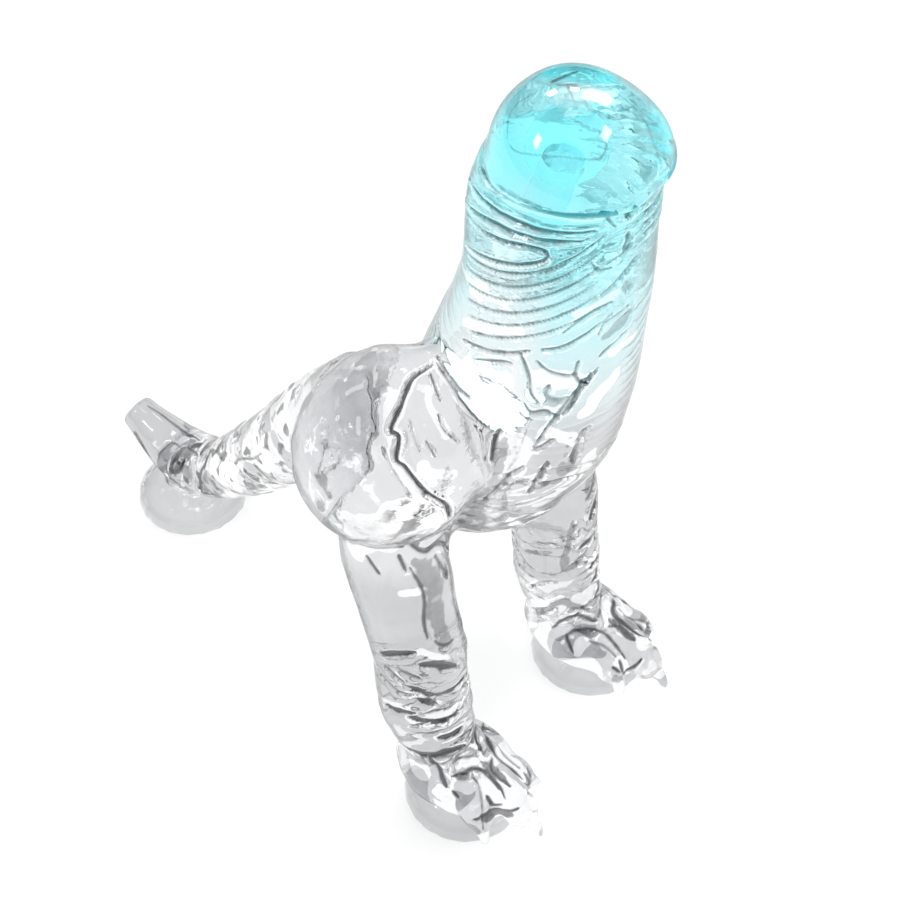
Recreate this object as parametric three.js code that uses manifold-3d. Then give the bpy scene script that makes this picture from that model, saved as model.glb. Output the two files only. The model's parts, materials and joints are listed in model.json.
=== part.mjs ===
// A clear soft-moulded novelty table figure. A round-headed column leans forward on two rounded
// haunches, above two legs with clawed feet, and a tail reaches back to the ground. Each foot and the
// tail stands on a suction cup. A small light unit slides up into the foot of the column and lights
// its head through a clear rod.
//
// Millimetres, +Z up. The figure faces -Y. The origin is on the ground, under the middle of its bounds.

import * as THREE from "three";
import { mergeVertices } from "three/addons/utils/BufferGeometryUtils.js";
import Module from "manifold-3d";

const wasm = await Module();
wasm.setup();

// ---- Driving dimensions ----------------------------------------------------------------------

const GAP = 0.3; // between two pieces that touch
const UP = new THREE.Vector3(0, 0, 1);

// Stance. Heights are above the ground, and setbacks are behind the line of the two foot cups.
const FOOT_SPACING = 52; // between the two foot cups
const TAIL_REACH = 115.8; // from the foot cups' line back to the tail cup

// Suction cups
const CUP_RADIUS = 15;
const CUP_HEIGHT = 8;
const CUP_HOLLOW = 3.4; // the hollow's height at its middle
const CUP_RIM = 1.2; // width of the flat rim, and thickness of the bell there
const STUD_NECK_RADIUS = 2.8;
const STUD_NECK_LENGTH = 3.2;
const STUD_HEAD_RADIUS = 4.4;
const STUD_HEAD_LENGTH = 3.4;
const STUD_TIP_RADIUS = 2.6;
const CUP_CLEARANCE = 0.4; // all round a cup and its stud, so that it turns
const SOCKET_ROOF = 2.4; // least material over the top of a stud

// Column
const COLUMN_HEIGHT = 77; // of the middle of its flat underside
const COLUMN_SETBACK = 21.2;
const COLUMN_LEAN = THREE.MathUtils.degToRad(11.3);
const COLUMN_BOW = 6; // how far its middle bows forward
const SHAFT_LENGTH = 106.5; // from the underside to the groove under the head
const UNDERSIDE_RADIUS = 12;
const BELLY_RADIUS = 22;
const NECK_RADIUS = 17.3;
const GROOVE_RADIUS = 15.2;
const HEAD_RADIUS = 16;
const HEAD_LENGTH = 19.5; // from the groove to the top
const HEAD_LIP = 3; // from the groove up to the head's widest ring

// Haunches, each over its foot's cup. They share one casting with the rump between them.
const HAUNCH_SETBACK = 20;
const HAUNCH_HEIGHT = 115;
const HAUNCH_RADII = new THREE.Vector3(15.5, 20, 28);
const HAUNCH_PITCH = THREE.MathUtils.degToRad(30); // forwards, of each haunch's top
const HAUNCH_ROLL = THREE.MathUtils.degToRad(12); // inwards, of each haunch's top
const RUMP_SETBACK = 37;
const RUMP_HEIGHT = 86;
const RUMP_INSET = 4; // of the rump's side from the middle of a haunch
const RUMP_LENGTH_RADIUS = 18;
const RUMP_HEIGHT_RADIUS = 15;

// Legs
const HIP_HEIGHT = 80; // of the seam between haunch and leg
const HIP_SETBACK = 20;
const KNEE_HEIGHT = 48;
const KNEE_SETBACK = 13.5;
const SHIN_HEIGHT = 29;
const SHIN_SETBACK = 12.5;
const ANKLE_HEIGHT = 17;
const ANKLE_SETBACK = 8;
const THIGH_RADIUS = 11.8;
const KNEE_RADIUS = 10.8;
const SHIN_RADIUS = 11;
const ANKLE_RADIUS = 9.2;
const SPIGOT_RADIUS = 4.4; // of the peg that holds a leg or the tail in the haunches
const SPIGOT_LENGTH = 12;
const SPIGOT_ROOT = 2; // how far the peg reaches down into its own piece
const SPIGOT_OFFSET = 3; // of a leg's peg outwards from the leg's middle, clear of the column

// Feet
const FOOT_RADII = new THREE.Vector3(12.5, 17, 8.5);
const FOOT_SETBACK = 2;
const TOE_RADIUS = 4.6;
const CLAW_RADIUS = 2.6;
const CLAW_LENGTH = 6;
const CLAW_TIP_HEIGHT = 2.6;
// Where each claw ends, outwards and forwards of the foot's cup
const CLAW_TIPS = [
  [-9.5, 16.5],
  [0.5, 23.5],
  [11, 14.5],
];

// Tail
const TAIL_ROOT_SETBACK = 51;
const TAIL_ROOT_HEIGHT = 82.5;
const TAIL_SEAM = 0.24; // of the way along the tail, where the rump's casting ends and the tail's starts
const TAIL_ROOT_RADIUS = 12.8;
const TAIL_MIDDLE_RADIUS = 9.4;
const TAIL_HEEL_RADIUS = 8.2; // over its cup
const TAIL_HEEL_SINK = 0.8; // how far the heel's round underside sinks below the sole
const TAIL_TIP_RADIUS = 4.4;
const TAIL_TIP_RISE = 7; // of the tip above the heel
const TAIL_TIP_LENGTH = 18.5; // of the tip behind the cup

// Light unit, in order up the column's axis from its underside
const BUTTON_RADIUS = 2.6;
const BUTTON_PROUD = 1.5;
const BUTTON_TRAVEL = 1.2;
const BUTTON_COLLAR = 1; // thickness of the collar that keeps the button in the cap
const BUTTON_LEDGE = 0.7; // width of that collar
const CAP_RADIUS = 10.4;
const CAP_FLANGE = 3.2;
const CAP_FLOOR = 1.6; // material under the button's collar
const CAP_SPIGOT = 7;
const CAP_FLUTES = 20;
const FLUTE_DEPTH = 0.5;
const SEAL_RADIUS = 0.6; // of the sealing ring's cord
const SEAL_HEIGHT = 2.2;
const SWITCH_RADIUS = 3.2;
const SWITCH_LENGTH = 4;
const SPRING_HEIGHT = 4;
const SPRING_WIRE = 0.35; // radius
const SPRING_TURNS = 3;
const CELL_RADIUS = 5.8;
const CELL_HEIGHT = 5.4;
const CELL_COUNT = 3;
const CELL_CLEARANCE = 0.6; // between a cell and the barrel
const BARREL_WALL = 1.4;
const CONTACT_THICKNESS = 0.5;
const CONTACT_INSET = 1; // of the contact's edge from a cell's
const BOARD_THICKNESS = 1.2;
const LED_RADIUS = 2.5;
const LED_FLANGE = 0.4; // how far its flange stands out
const LED_FLANGE_HEIGHT = 1;
const LED_LENGTH = 8.6;
const RESISTOR_SIZE = new THREE.Vector3(1.6, 3.2, 0.7);
const WINDOW_WALL = 1.2;
const WINDOW_SPIGOT = 3; // how far the window reaches down into the barrel
const ROD_RADIUS = 3;
const DIFFUSER_RADIUS = 6.4;
const DIFFUSER_SOCKET = 3.2; // how far the rod's end sits in the diffuser
const DIFFUSER_COVER = 8; // material of the head over the diffuser

// ---- Materials -------------------------------------------------------------------------------

const finish = (color, roughness, metalness = 0, opacity = 1) =>
  new THREE.MeshStandardMaterial({
    color,
    roughness,
    metalness,
    opacity,
    transparent: opacity < 1,
  });
const clearElastomer = finish(0xdfe3e5, 0.08, 0, 0.45);
const clearVinyl = finish(0xd6dadb, 0.1, 0, 0.5);
const clearAcrylic = finish(0xeef6f8, 0.05, 0, 0.4);
const frostedAcrylic = finish(0xa8f0f2, 0.5, 0, 0.8);
const whitePlastic = finish(0xf0f1f0, 0.4);
const greyRubber = finish(0x9da2a5, 0.7);
const blackPlastic = finish(0x202224, 0.5);
const boardGreen = finish(0x1f6b46, 0.5);
const nickel = finish(0xc9cccf, 0.3, 1);
const steel = finish(0xb9bdc1, 0.25, 1);
const ledEpoxy = finish(0xb8fbff, 0.1, 0, 0.8);

// ---- Solids and shapes -----------------------------------------------------------------------

// A closed geometry, moved by a matrix, as a solid that can be joined and cut.
function solid(geometry, matrix = new THREE.Matrix4()) {
  const bare = new THREE.BufferGeometry();
  bare.setAttribute("position", geometry.getAttribute("position").clone());
  bare.setIndex(geometry.index);
  const merged = mergeVertices(bare.applyMatrix4(matrix), 1e-4);
  return new wasm.Manifold(
    new wasm.Mesh({
      numProp: 3,
      vertProperties: merged.attributes.position.array,
      triVerts: new Uint32Array(merged.index.array),
    }),
  );
}

const joined = (solids) => solids.reduce((sum, next) => sum.add(next));

function mesh(name, source, material) {
  const { numProp, vertProperties, triVerts } = source.getMesh();
  const geometry = new THREE.BufferGeometry();
  const positions = new Float32Array((vertProperties.length / numProp) * 3);
  for (let i = 0; i * 3 < positions.length; i++) {
    positions.set(vertProperties.subarray(i * numProp, i * numProp + 3), i * 3);
  }
  geometry.setAttribute("position", new THREE.BufferAttribute(positions, 3));
  geometry.setIndex(new THREE.BufferAttribute(new Uint32Array(triVerts), 1));
  geometry.computeVertexNormals();
  const made = new THREE.Mesh(geometry, material);
  made.name = name;
  return made;
}

// A profile of [radius, height] points, from the axis back to the axis, turned about +Z.
function turned(profile, segments = 20) {
  const points = profile.map(([radius, height]) => new THREE.Vector2(radius, height));
  return new THREE.LatheGeometry(points, segments).rotateX(Math.PI / 2);
}

const disc = (radius, bottom, top, segments = 20) =>
  turned([[0, bottom], [radius, bottom], [radius, top], [0, top]], segments);

// A closed outline of points round its middle, each as far out as reach(i) says.
function outline(count, reach) {
  const points = Array.from({ length: count }, (_, i) => {
    const turn = (i / count) * Math.PI * 2;
    return new THREE.Vector2(reach(i) * Math.cos(turn), reach(i) * Math.sin(turn));
  });
  return new THREE.Shape(points);
}

const moved = (x, y, z) => new THREE.Matrix4().makeTranslation(x, y, z);

// An ellipsoid round a middle point.
function ellipsoid(middle, radii, across = 20, up = 12) {
  return new THREE.SphereGeometry(1, across, up)
    .rotateX(Math.PI / 2)
    .scale(radii.x, radii.y, radii.z)
    .translate(middle.x, middle.y, middle.z);
}

// The side of a plane that its normal points to.
function halfSpace(point, normal) {
  const size = 600;
  const turn = new THREE.Quaternion().setFromUnitVectors(UP, normal);
  const place = new THREE.Matrix4().compose(point, turn, new THREE.Vector3(1, 1, 1));
  return solid(new THREE.BoxGeometry(size, size, size).translate(0, 0, size / 2), place);
}

// A straight peg or hole from a point, along a direction.
function peg(start, direction, radius, length, segments = 16) {
  const turn = new THREE.Quaternion().setFromUnitVectors(UP, direction);
  const place = new THREE.Matrix4().compose(start, turn, new THREE.Vector3(1, 1, 1));
  return solid(disc(radius, 0, length, segments), place);
}

// A limb: its middle line and its radius both run smoothly through the stations, each of which is
// { x, y, z, radius }. Rings stand square to the middle line, and the ends are flat.
class Limb {
  constructor(stations) {
    const places = stations.map(({ x, y, z }) => new THREE.Vector3(x, y, z));
    const girths = stations.map(({ radius }, i) => new THREE.Vector3(radius, i, 0));
    this.line = new THREE.CatmullRomCurve3(places);
    this.girth = new THREE.CatmullRomCurve3(girths);
  }

  solid(sides, rings) {
    const geometry = new THREE.CylinderGeometry(1, 1, 1, sides, rings);
    const position = geometry.attributes.position;
    const side = new THREE.Vector3();
    for (let i = 0; i < position.count; i++) {
      const t = 0.5 - position.getY(i);
      const along = this.line.getTangent(t);
      side.set(1, 0, 0).addScaledVector(along, -along.x).normalize();
      const depth = new THREE.Vector3().crossVectors(along, side);
      const radius = this.girth.getPoint(t).x;
      const point = this.line
        .getPoint(t)
        .addScaledVector(side, position.getX(i) * radius)
        .addScaledVector(depth, position.getZ(i) * radius);
      position.setXYZ(i, point.x, point.y, point.z);
    }
    return solid(geometry);
  }
}

// ---- Suction cups ----------------------------------------------------------------------------

const studTop = CUP_HEIGHT + STUD_NECK_LENGTH + STUD_HEAD_LENGTH;
const soleHeight = CUP_HEIGHT + CUP_CLEARANCE;
const heelTop = studTop + CUP_CLEARANCE + SOCKET_ROOF;

// The outside of a cup, from the edge of its rim up to the top of its stud, grown all round.
function cupOutside(grow) {
  const arcSteps = 6;
  const neck = STUD_NECK_RADIUS + grow;
  const bell = [];
  for (let i = 0; i <= arcSteps; i++) {
    const turn = (i / arcSteps) * (Math.PI / 2);
    bell.push([
      neck + (CUP_RADIUS + grow - neck) * Math.cos(turn),
      CUP_RIM + (CUP_HEIGHT + grow - CUP_RIM) * Math.sin(turn),
    ]);
  }
  const headBottom = CUP_HEIGHT + STUD_NECK_LENGTH - grow;
  const headTop = studTop + grow;
  return [
    [CUP_RADIUS + grow, -grow],
    ...bell,
    [neck, headBottom],
    [STUD_HEAD_RADIUS + grow, headBottom],
    [STUD_HEAD_RADIUS + grow, headBottom + STUD_HEAD_LENGTH / 3],
    [STUD_TIP_RADIUS + grow, headTop],
    [0, headTop],
  ];
}

function cupSolid() {
  const hollowSteps = 4;
  const hollow = [];
  for (let i = 0; i <= hollowSteps; i++) {
    const turn = (i / hollowSteps) * (Math.PI / 2);
    hollow.push([(CUP_RADIUS - CUP_RIM) * Math.sin(turn), CUP_HOLLOW * Math.cos(turn)]);
  }
  return solid(turned([...hollow, ...cupOutside(0)]));
}

// The space that a cup and its stud need, with room to turn.
function cupSpace(x, y) {
  const outside = cupOutside(CUP_CLEARANCE);
  return solid(turned([[0, -CUP_CLEARANCE], ...outside]), moved(x, y, 0));
}

// The boss round a stud's socket.
function cupBoss(x, y) {
  const radius = STUD_HEAD_RADIUS + CUP_CLEARANCE + SOCKET_ROOF;
  return solid(disc(radius, CUP_HEIGHT, heelTop), moved(x, y, 0));
}

function suctionCup(name, x, y) {
  const cup = mesh(name, cupSolid(), clearVinyl);
  cup.position.set(x, y, 0);
  return cup;
}

// ---- Light unit ------------------------------------------------------------------------------

// Radii and heights that follow from the light unit's driving dimensions, up the column's axis.
const barrelBore = CELL_RADIUS + CELL_CLEARANCE;
const barrelRadius = barrelBore + BARREL_WALL;
const sealMiddle = barrelBore - GAP - SEAL_RADIUS;
const capBottom = -GAP - CAP_FLANGE;
const collarBottom = capBottom + CAP_FLOOR + GAP;
const switchBottom = collarBottom + BUTTON_COLLAR + BUTTON_TRAVEL + GAP;
const pocketRadius = Math.max(SWITCH_RADIUS, BUTTON_RADIUS + BUTTON_LEDGE) + GAP;
const springBottom = Math.max(CAP_SPIGOT, switchBottom + SWITCH_LENGTH) + GAP;
const cellsBottom = springBottom + SPRING_HEIGHT + GAP;
const contactBottom = cellsBottom + CELL_COUNT * (CELL_HEIGHT + GAP);
const boardBottom = contactBottom + CONTACT_THICKNESS + GAP;
const boardTop = boardBottom + BOARD_THICKNESS;
const ledBottom = boardTop + GAP;
const ledTop = ledBottom + LED_LENGTH;
const barrelTop = ledBottom + LED_LENGTH / 2 + WINDOW_SPIGOT;
const windowTop = Math.max(ledTop + GAP + WINDOW_WALL, barrelTop + WINDOW_WALL);
const rodBottom = windowTop + 2 * GAP;
const columnLength = SHAFT_LENGTH + HEAD_LENGTH;
const diffuserMiddle = columnLength - DIFFUSER_COVER - DIFFUSER_RADIUS;
const rodTop = diffuserMiddle - DIFFUSER_RADIUS + DIFFUSER_SOCKET;

function fluted(radius, bottom, top) {
  const shape = outline(CAP_FLUTES * 2, (i) => radius - (i % 2) * FLUTE_DEPTH);
  const settings = { depth: top - bottom, bevelEnabled: false };
  return new THREE.ExtrudeGeometry(shape, settings).translate(0, 0, bottom);
}

function endCap() {
  const spigotRadius = barrelBore - 2 * GAP;
  const grooveFloor = sealMiddle - SEAL_RADIUS - GAP;
  const grooveHalf = SEAL_RADIUS + GAP;
  const groove = turned([
    [grooveFloor, SEAL_HEIGHT - grooveHalf],
    [barrelBore, SEAL_HEIGHT - grooveHalf],
    [barrelBore, SEAL_HEIGHT + grooveHalf],
    [grooveFloor, SEAL_HEIGHT + grooveHalf],
    [grooveFloor, SEAL_HEIGHT - grooveHalf],
  ]);
  return joined([
    solid(fluted(CAP_RADIUS, capBottom, -GAP)),
    solid(disc(spigotRadius, -GAP - 0.1, CAP_SPIGOT)),
  ])
    .subtract(solid(disc(BUTTON_RADIUS + GAP, capBottom - 1, CAP_SPIGOT + 1)))
    .subtract(solid(disc(pocketRadius, capBottom + CAP_FLOOR, CAP_SPIGOT + 1)))
    .subtract(solid(groove));
}

function sealRing() {
  return solid(new THREE.TorusGeometry(sealMiddle, SEAL_RADIUS, 8, 24).translate(0, 0, SEAL_HEIGHT));
}

function button() {
  const bottom = capBottom - BUTTON_PROUD;
  const top = collarBottom + BUTTON_COLLAR;
  const collar = BUTTON_RADIUS + BUTTON_LEDGE - GAP / 2;
  return solid(
    turned([
      [0, bottom],
      [BUTTON_RADIUS * 0.7, bottom],
      [BUTTON_RADIUS, bottom + BUTTON_PROUD / 2],
      [BUTTON_RADIUS, collarBottom],
      [collar, collarBottom],
      [collar, top],
      [0, top],
    ]),
  );
}

// A spring that narrows upwards, wound from round wire.
function batterySpring() {
  const wide = barrelBore - GAP - 2 * SPRING_WIRE;
  const narrow = wide / 2;
  class Winding extends THREE.Curve {
    getPoint(t, target = new THREE.Vector3()) {
      const radius = wide + (narrow - wide) * t;
      const turn = t * SPRING_TURNS * Math.PI * 2;
      const rise = SPRING_WIRE + t * (SPRING_HEIGHT - 2 * SPRING_WIRE);
      return target.set(radius * Math.cos(turn), radius * Math.sin(turn), rise);
    }
  }
  const section = outline(6, () => SPRING_WIRE);
  const stepsPerTurn = 14;
  const settings = { steps: SPRING_TURNS * stepsPerTurn, extrudePath: new Winding() };
  return solid(new THREE.ExtrudeGeometry(section, settings).translate(0, 0, springBottom));
}

function barrel() {
  return solid(disc(barrelRadius, GAP, barrelTop)).subtract(solid(disc(barrelBore, 0, barrelTop + 1)));
}

// The clear end of the barrel: a hollow dome over the LED, with a spigot in the barrel.
function lightWindow() {
  const inner = barrelBore - GAP - WINDOW_WALL;
  const spigotBottom = barrelTop - WINDOW_SPIGOT;
  const roof = windowTop - WINDOW_WALL;
  return solid(
    turned([
      [inner, spigotBottom],
      [barrelBore - GAP, spigotBottom],
      [barrelBore - GAP, barrelTop + GAP],
      [barrelRadius, barrelTop + GAP],
      [barrelRadius, windowTop - WINDOW_WALL / 2],
      [barrelRadius - WINDOW_WALL / 2, windowTop],
      [0, windowTop],
      [0, roof],
      [inner, roof],
      [inner, spigotBottom],
    ]),
  );
}

function led() {
  const dome = [];
  const domeSteps = 4;
  for (let i = 0; i <= domeSteps; i++) {
    const turn = (i / domeSteps) * (Math.PI / 2);
    dome.push([LED_RADIUS * Math.cos(turn), ledTop - LED_RADIUS + LED_RADIUS * Math.sin(turn)]);
  }
  const profile = [
    [0, ledBottom],
    [LED_RADIUS + LED_FLANGE, ledBottom],
    [LED_RADIUS + LED_FLANGE, ledBottom + LED_FLANGE_HEIGHT],
    [LED_RADIUS, ledBottom + LED_FLANGE_HEIGHT],
    ...dome,
  ];
  return solid(turned(profile, 16));
}

function resistor() {
  const { x, y, z } = RESISTOR_SIZE;
  const out = LED_RADIUS + LED_FLANGE + GAP + x / 2;
  return solid(new THREE.BoxGeometry(x, y, z).translate(out, 0, ledBottom + z / 2));
}

// The diffuser's ball, grown outwards.
function diffuserBall(grow) {
  const middle = new THREE.Vector3(0, 0, diffuserMiddle);
  return solid(ellipsoid(middle, new THREE.Vector3().setScalar(DIFFUSER_RADIUS + grow)));
}

function diffuser() {
  const below = diffuserMiddle - DIFFUSER_RADIUS - 1;
  return diffuserBall(0).subtract(solid(disc(ROD_RADIUS + GAP, below, rodTop + GAP, 16)));
}

// The light unit's meshes, which slide out of the column together.
function lightUnit() {
  const cells = Array.from({ length: CELL_COUNT }, (_, i) => {
    const bottom = cellsBottom + i * (CELL_HEIGHT + GAP);
    return mesh(`cell_${i + 1}`, solid(disc(CELL_RADIUS, bottom, bottom + CELL_HEIGHT)), steel);
  });
  const board = disc(barrelBore - GAP, boardBottom, boardTop);
  const contact = disc(CELL_RADIUS - CONTACT_INSET, contactBottom, contactBottom + CONTACT_THICKNESS);
  const switchBody = disc(SWITCH_RADIUS, switchBottom, switchBottom + SWITCH_LENGTH, 16);
  return [
    mesh("barrel", barrel(), whitePlastic),
    mesh("light_window", lightWindow(), clearAcrylic),
    mesh("led", led(), ledEpoxy),
    mesh("led_board", solid(board), boardGreen),
    mesh("led_resistor", resistor(), blackPlastic),
    mesh("top_contact", solid(contact), nickel),
    ...cells,
    mesh("battery_spring", batterySpring(), nickel),
    mesh("end_cap", endCap(), whitePlastic),
    mesh("seal_ring", sealRing(), greyRubber),
    mesh("switch_body", solid(switchBody), blackPlastic),
    mesh("switch_button", button(), greyRubber),
  ];
}

// ---- Column ----------------------------------------------------------------------------------

// The column's profile up its straight axis, grown outwards.
function columnProfile(grow) {
  const mix = THREE.MathUtils.lerp;
  // Each station's radius, and its height as a share of the shaft
  const stations = [
    [UNDERSIDE_RADIUS, 0],
    [mix(UNDERSIDE_RADIUS, BELLY_RADIUS, 0.3), 0.05],
    [mix(UNDERSIDE_RADIUS, BELLY_RADIUS, 0.8), 0.18],
    [BELLY_RADIUS, 0.36],
    [mix(BELLY_RADIUS, NECK_RADIUS, 0.3), 0.53],
    [mix(BELLY_RADIUS, NECK_RADIUS, 0.7), 0.68],
    [NECK_RADIUS, 0.92],
    [GROOVE_RADIUS, 1],
  ];
  const points = stations.map(
    ([radius, share]) => new THREE.Vector2(radius + grow, share * SHAFT_LENGTH),
  );
  const shaft = new THREE.SplineCurve(points).getPoints(16).map(({ x, y }) => [x, y]);
  const dome = [];
  const domeSteps = 7;
  for (let i = 0; i <= domeSteps; i++) {
    const turn = (i / domeSteps) * (Math.PI / 2);
    dome.push([
      (HEAD_RADIUS + grow) * Math.cos(turn),
      SHAFT_LENGTH + HEAD_LIP + (HEAD_LENGTH - HEAD_LIP + grow) * Math.sin(turn),
    ]);
  }
  return [[0, -grow], [UNDERSIDE_RADIUS + grow, -grow], ...shaft.slice(1), ...dome];
}

// The column's outside, bowed forward, in its own frame.
function columnSkin(grow) {
  const geometry = turned(columnProfile(grow), 26);
  const position = geometry.attributes.position;
  for (let i = 0; i < position.count; i++) {
    const share = THREE.MathUtils.clamp(position.getZ(i) / columnLength, 0, 1);
    position.setY(i, position.getY(i) - COLUMN_BOW * Math.sin(Math.PI * share));
  }
  return geometry;
}

function column() {
  return solid(columnSkin(0))
    .subtract(solid(disc(barrelRadius + GAP, -1, windowTop + GAP)))
    .subtract(solid(disc(ROD_RADIUS + GAP, windowTop, diffuserMiddle, 16)))
    .subtract(diffuserBall(GAP));
}

const columnFrame = new THREE.Group();
columnFrame.position.set(0, COLUMN_SETBACK, COLUMN_HEIGHT);
columnFrame.rotation.x = COLUMN_LEAN;
columnFrame.updateMatrix();
columnFrame.add(
  mesh("column", column(), clearElastomer),
  mesh("light_rod", solid(disc(ROD_RADIUS, rodBottom, rodTop, 16)), clearAcrylic),
  mesh("light_diffuser", diffuser(), frostedAcrylic),
  ...lightUnit(),
);

// ---- Legs, tail and haunches -----------------------------------------------------------------

const columnSpace = solid(columnSkin(GAP), columnFrame.matrix);
// The way out below the column, for the light unit as wide as its cap.
const lightUnitPath = solid(disc(CAP_RADIUS + 4 * GAP, -COLUMN_HEIGHT, 0), columnFrame.matrix);

// One leg's line, from inside the haunch down into the foot. side is -1 for the right leg.
function legLimb(side, grow = 0) {
  const x = (side * FOOT_SPACING) / 2;
  return new Limb([
    { x, y: HAUNCH_SETBACK, z: HAUNCH_HEIGHT - 6, radius: THIGH_RADIUS + grow },
    { x, y: HIP_SETBACK, z: HIP_HEIGHT, radius: THIGH_RADIUS + grow },
    { x, y: KNEE_SETBACK, z: KNEE_HEIGHT, radius: KNEE_RADIUS + grow },
    { x, y: SHIN_SETBACK, z: SHIN_HEIGHT, radius: SHIN_RADIUS + grow },
    { x, y: ANKLE_SETBACK, z: ANKLE_HEIGHT, radius: ANKLE_RADIUS + grow },
    { x, y: FOOT_SETBACK, z: soleHeight + 2, radius: ANKLE_RADIUS * 0.75 + grow },
  ]);
}

// A toe and its claw: the toe reaches forward from the foot, and the claw bends down from its end.
function toe(side, [outwards, forwards]) {
  const cupX = (side * FOOT_SPACING) / 2;
  const reach = Math.hypot(outwards, forwards);
  const at = (distance, z, radius) => ({
    x: cupX + (side * outwards * distance) / reach,
    y: (-forwards * distance) / reach,
    z,
    radius,
  });
  const toeEnd = reach - CLAW_LENGTH;
  const knuckle = heelTop - TOE_RADIUS;
  const flesh = new Limb([
    at(1, knuckle - 1, TOE_RADIUS),
    at(toeEnd * 0.55, knuckle, TOE_RADIUS * 1.1),
    at(toeEnd, knuckle / 2 + 1, TOE_RADIUS),
    at(toeEnd + CLAW_LENGTH / 3, knuckle / 2 - 0.4, TOE_RADIUS * 0.6),
  ]);
  const claw = new Limb([
    at(toeEnd - 1, knuckle / 2 + 2.5, CLAW_RADIUS),
    at(toeEnd + CLAW_LENGTH / 2, knuckle / 2 + 1, CLAW_RADIUS * 0.8),
    at(reach, CLAW_TIP_HEIGHT, 0.5),
  ]);
  return flesh.solid(8, 4).add(claw.solid(6, 3));
}

function legPeg(side, grow) {
  const x = side * (FOOT_SPACING / 2 + SPIGOT_OFFSET);
  const start = new THREE.Vector3(x, HIP_SETBACK, HIP_HEIGHT - SPIGOT_ROOT);
  return peg(start, UP, SPIGOT_RADIUS + grow, SPIGOT_ROOT + SPIGOT_LENGTH + grow);
}

// The space that one leg needs below its seam with the haunches.
function legSpace(side) {
  const seam = new THREE.Vector3(0, 0, HIP_HEIGHT + GAP / 2);
  return legLimb(side, GAP).solid(16, 10).intersect(halfSpace(seam, UP.clone().negate()));
}

function leg(side) {
  const cupX = (side * FOOT_SPACING) / 2;
  const seam = new THREE.Vector3(0, 0, HIP_HEIGHT - GAP / 2);
  const footMiddle = new THREE.Vector3(cupX, FOOT_SETBACK, heelTop - FOOT_RADII.z);
  const foot = joined([
    solid(ellipsoid(footMiddle, FOOT_RADII, 18, 10)),
    cupBoss(cupX, 0),
    ...CLAW_TIPS.map((tip) => toe(side, tip)),
  ]);
  return joined([legLimb(side).solid(16, 10), foot])
    .intersect(halfSpace(seam, UP.clone().negate()))
    .add(legPeg(side, 0))
    .subtract(columnSpace)
    .subtract(cupSpace(cupX, 0))
    .intersect(halfSpace(new THREE.Vector3(0, 0, CLAW_TIP_HEIGHT / 2), UP));
}

// The tail's line, from inside the rump down to the heel over its cup and up again to its tip.
const tailHeel = soleHeight + TAIL_HEEL_RADIUS - TAIL_HEEL_SINK;

// A station between the tail's root and its heel, as shares of the way back and of the way up.
const tailStation = (back, up, radius) => ({
  x: 0,
  y: THREE.MathUtils.lerp(TAIL_ROOT_SETBACK, TAIL_REACH, back),
  z: THREE.MathUtils.lerp(tailHeel, TAIL_ROOT_HEIGHT, up),
  radius,
});

// A station between the tail's heel and its tip.
const tipStation = (back, up, radius) => ({
  x: 0,
  y: TAIL_REACH + TAIL_TIP_LENGTH * back,
  z: tailHeel + TAIL_TIP_RISE * up,
  radius,
});

const tailLimb = new Limb([
  { x: 0, y: RUMP_SETBACK + 3, z: RUMP_HEIGHT + 4, radius: TAIL_ROOT_RADIUS * 0.75 },
  tailStation(0, 1, TAIL_ROOT_RADIUS),
  tailStation(0.34, 0.59, (TAIL_ROOT_RADIUS + TAIL_MIDDLE_RADIUS) / 2),
  tailStation(0.61, 0.26, TAIL_MIDDLE_RADIUS),
  tailStation(0.82, 0.06, TAIL_HEEL_RADIUS),
  tailStation(1, 0, TAIL_HEEL_RADIUS),
  tipStation(0.55, 0.4, (TAIL_HEEL_RADIUS + TAIL_TIP_RADIUS) / 2),
  tipStation(1, 1, TAIL_TIP_RADIUS),
]);
const tailSeam = tailLimb.line.getPoint(TAIL_SEAM);
const tailAlong = tailLimb.line.getTangent(TAIL_SEAM);

function tailPeg(grow) {
  const start = tailSeam.clone().addScaledVector(tailAlong, SPIGOT_ROOT);
  const length = SPIGOT_ROOT + SPIGOT_LENGTH + grow;
  return peg(start, tailAlong.clone().negate(), SPIGOT_RADIUS + grow, length);
}

function tail() {
  const cut = tailSeam.clone().addScaledVector(tailAlong, GAP / 2);
  return tailLimb
    .solid(16, 14)
    .add(cupBoss(0, TAIL_REACH))
    .intersect(halfSpace(cut, tailAlong))
    .add(tailPeg(0))
    .subtract(cupSpace(0, TAIL_REACH));
}

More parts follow.
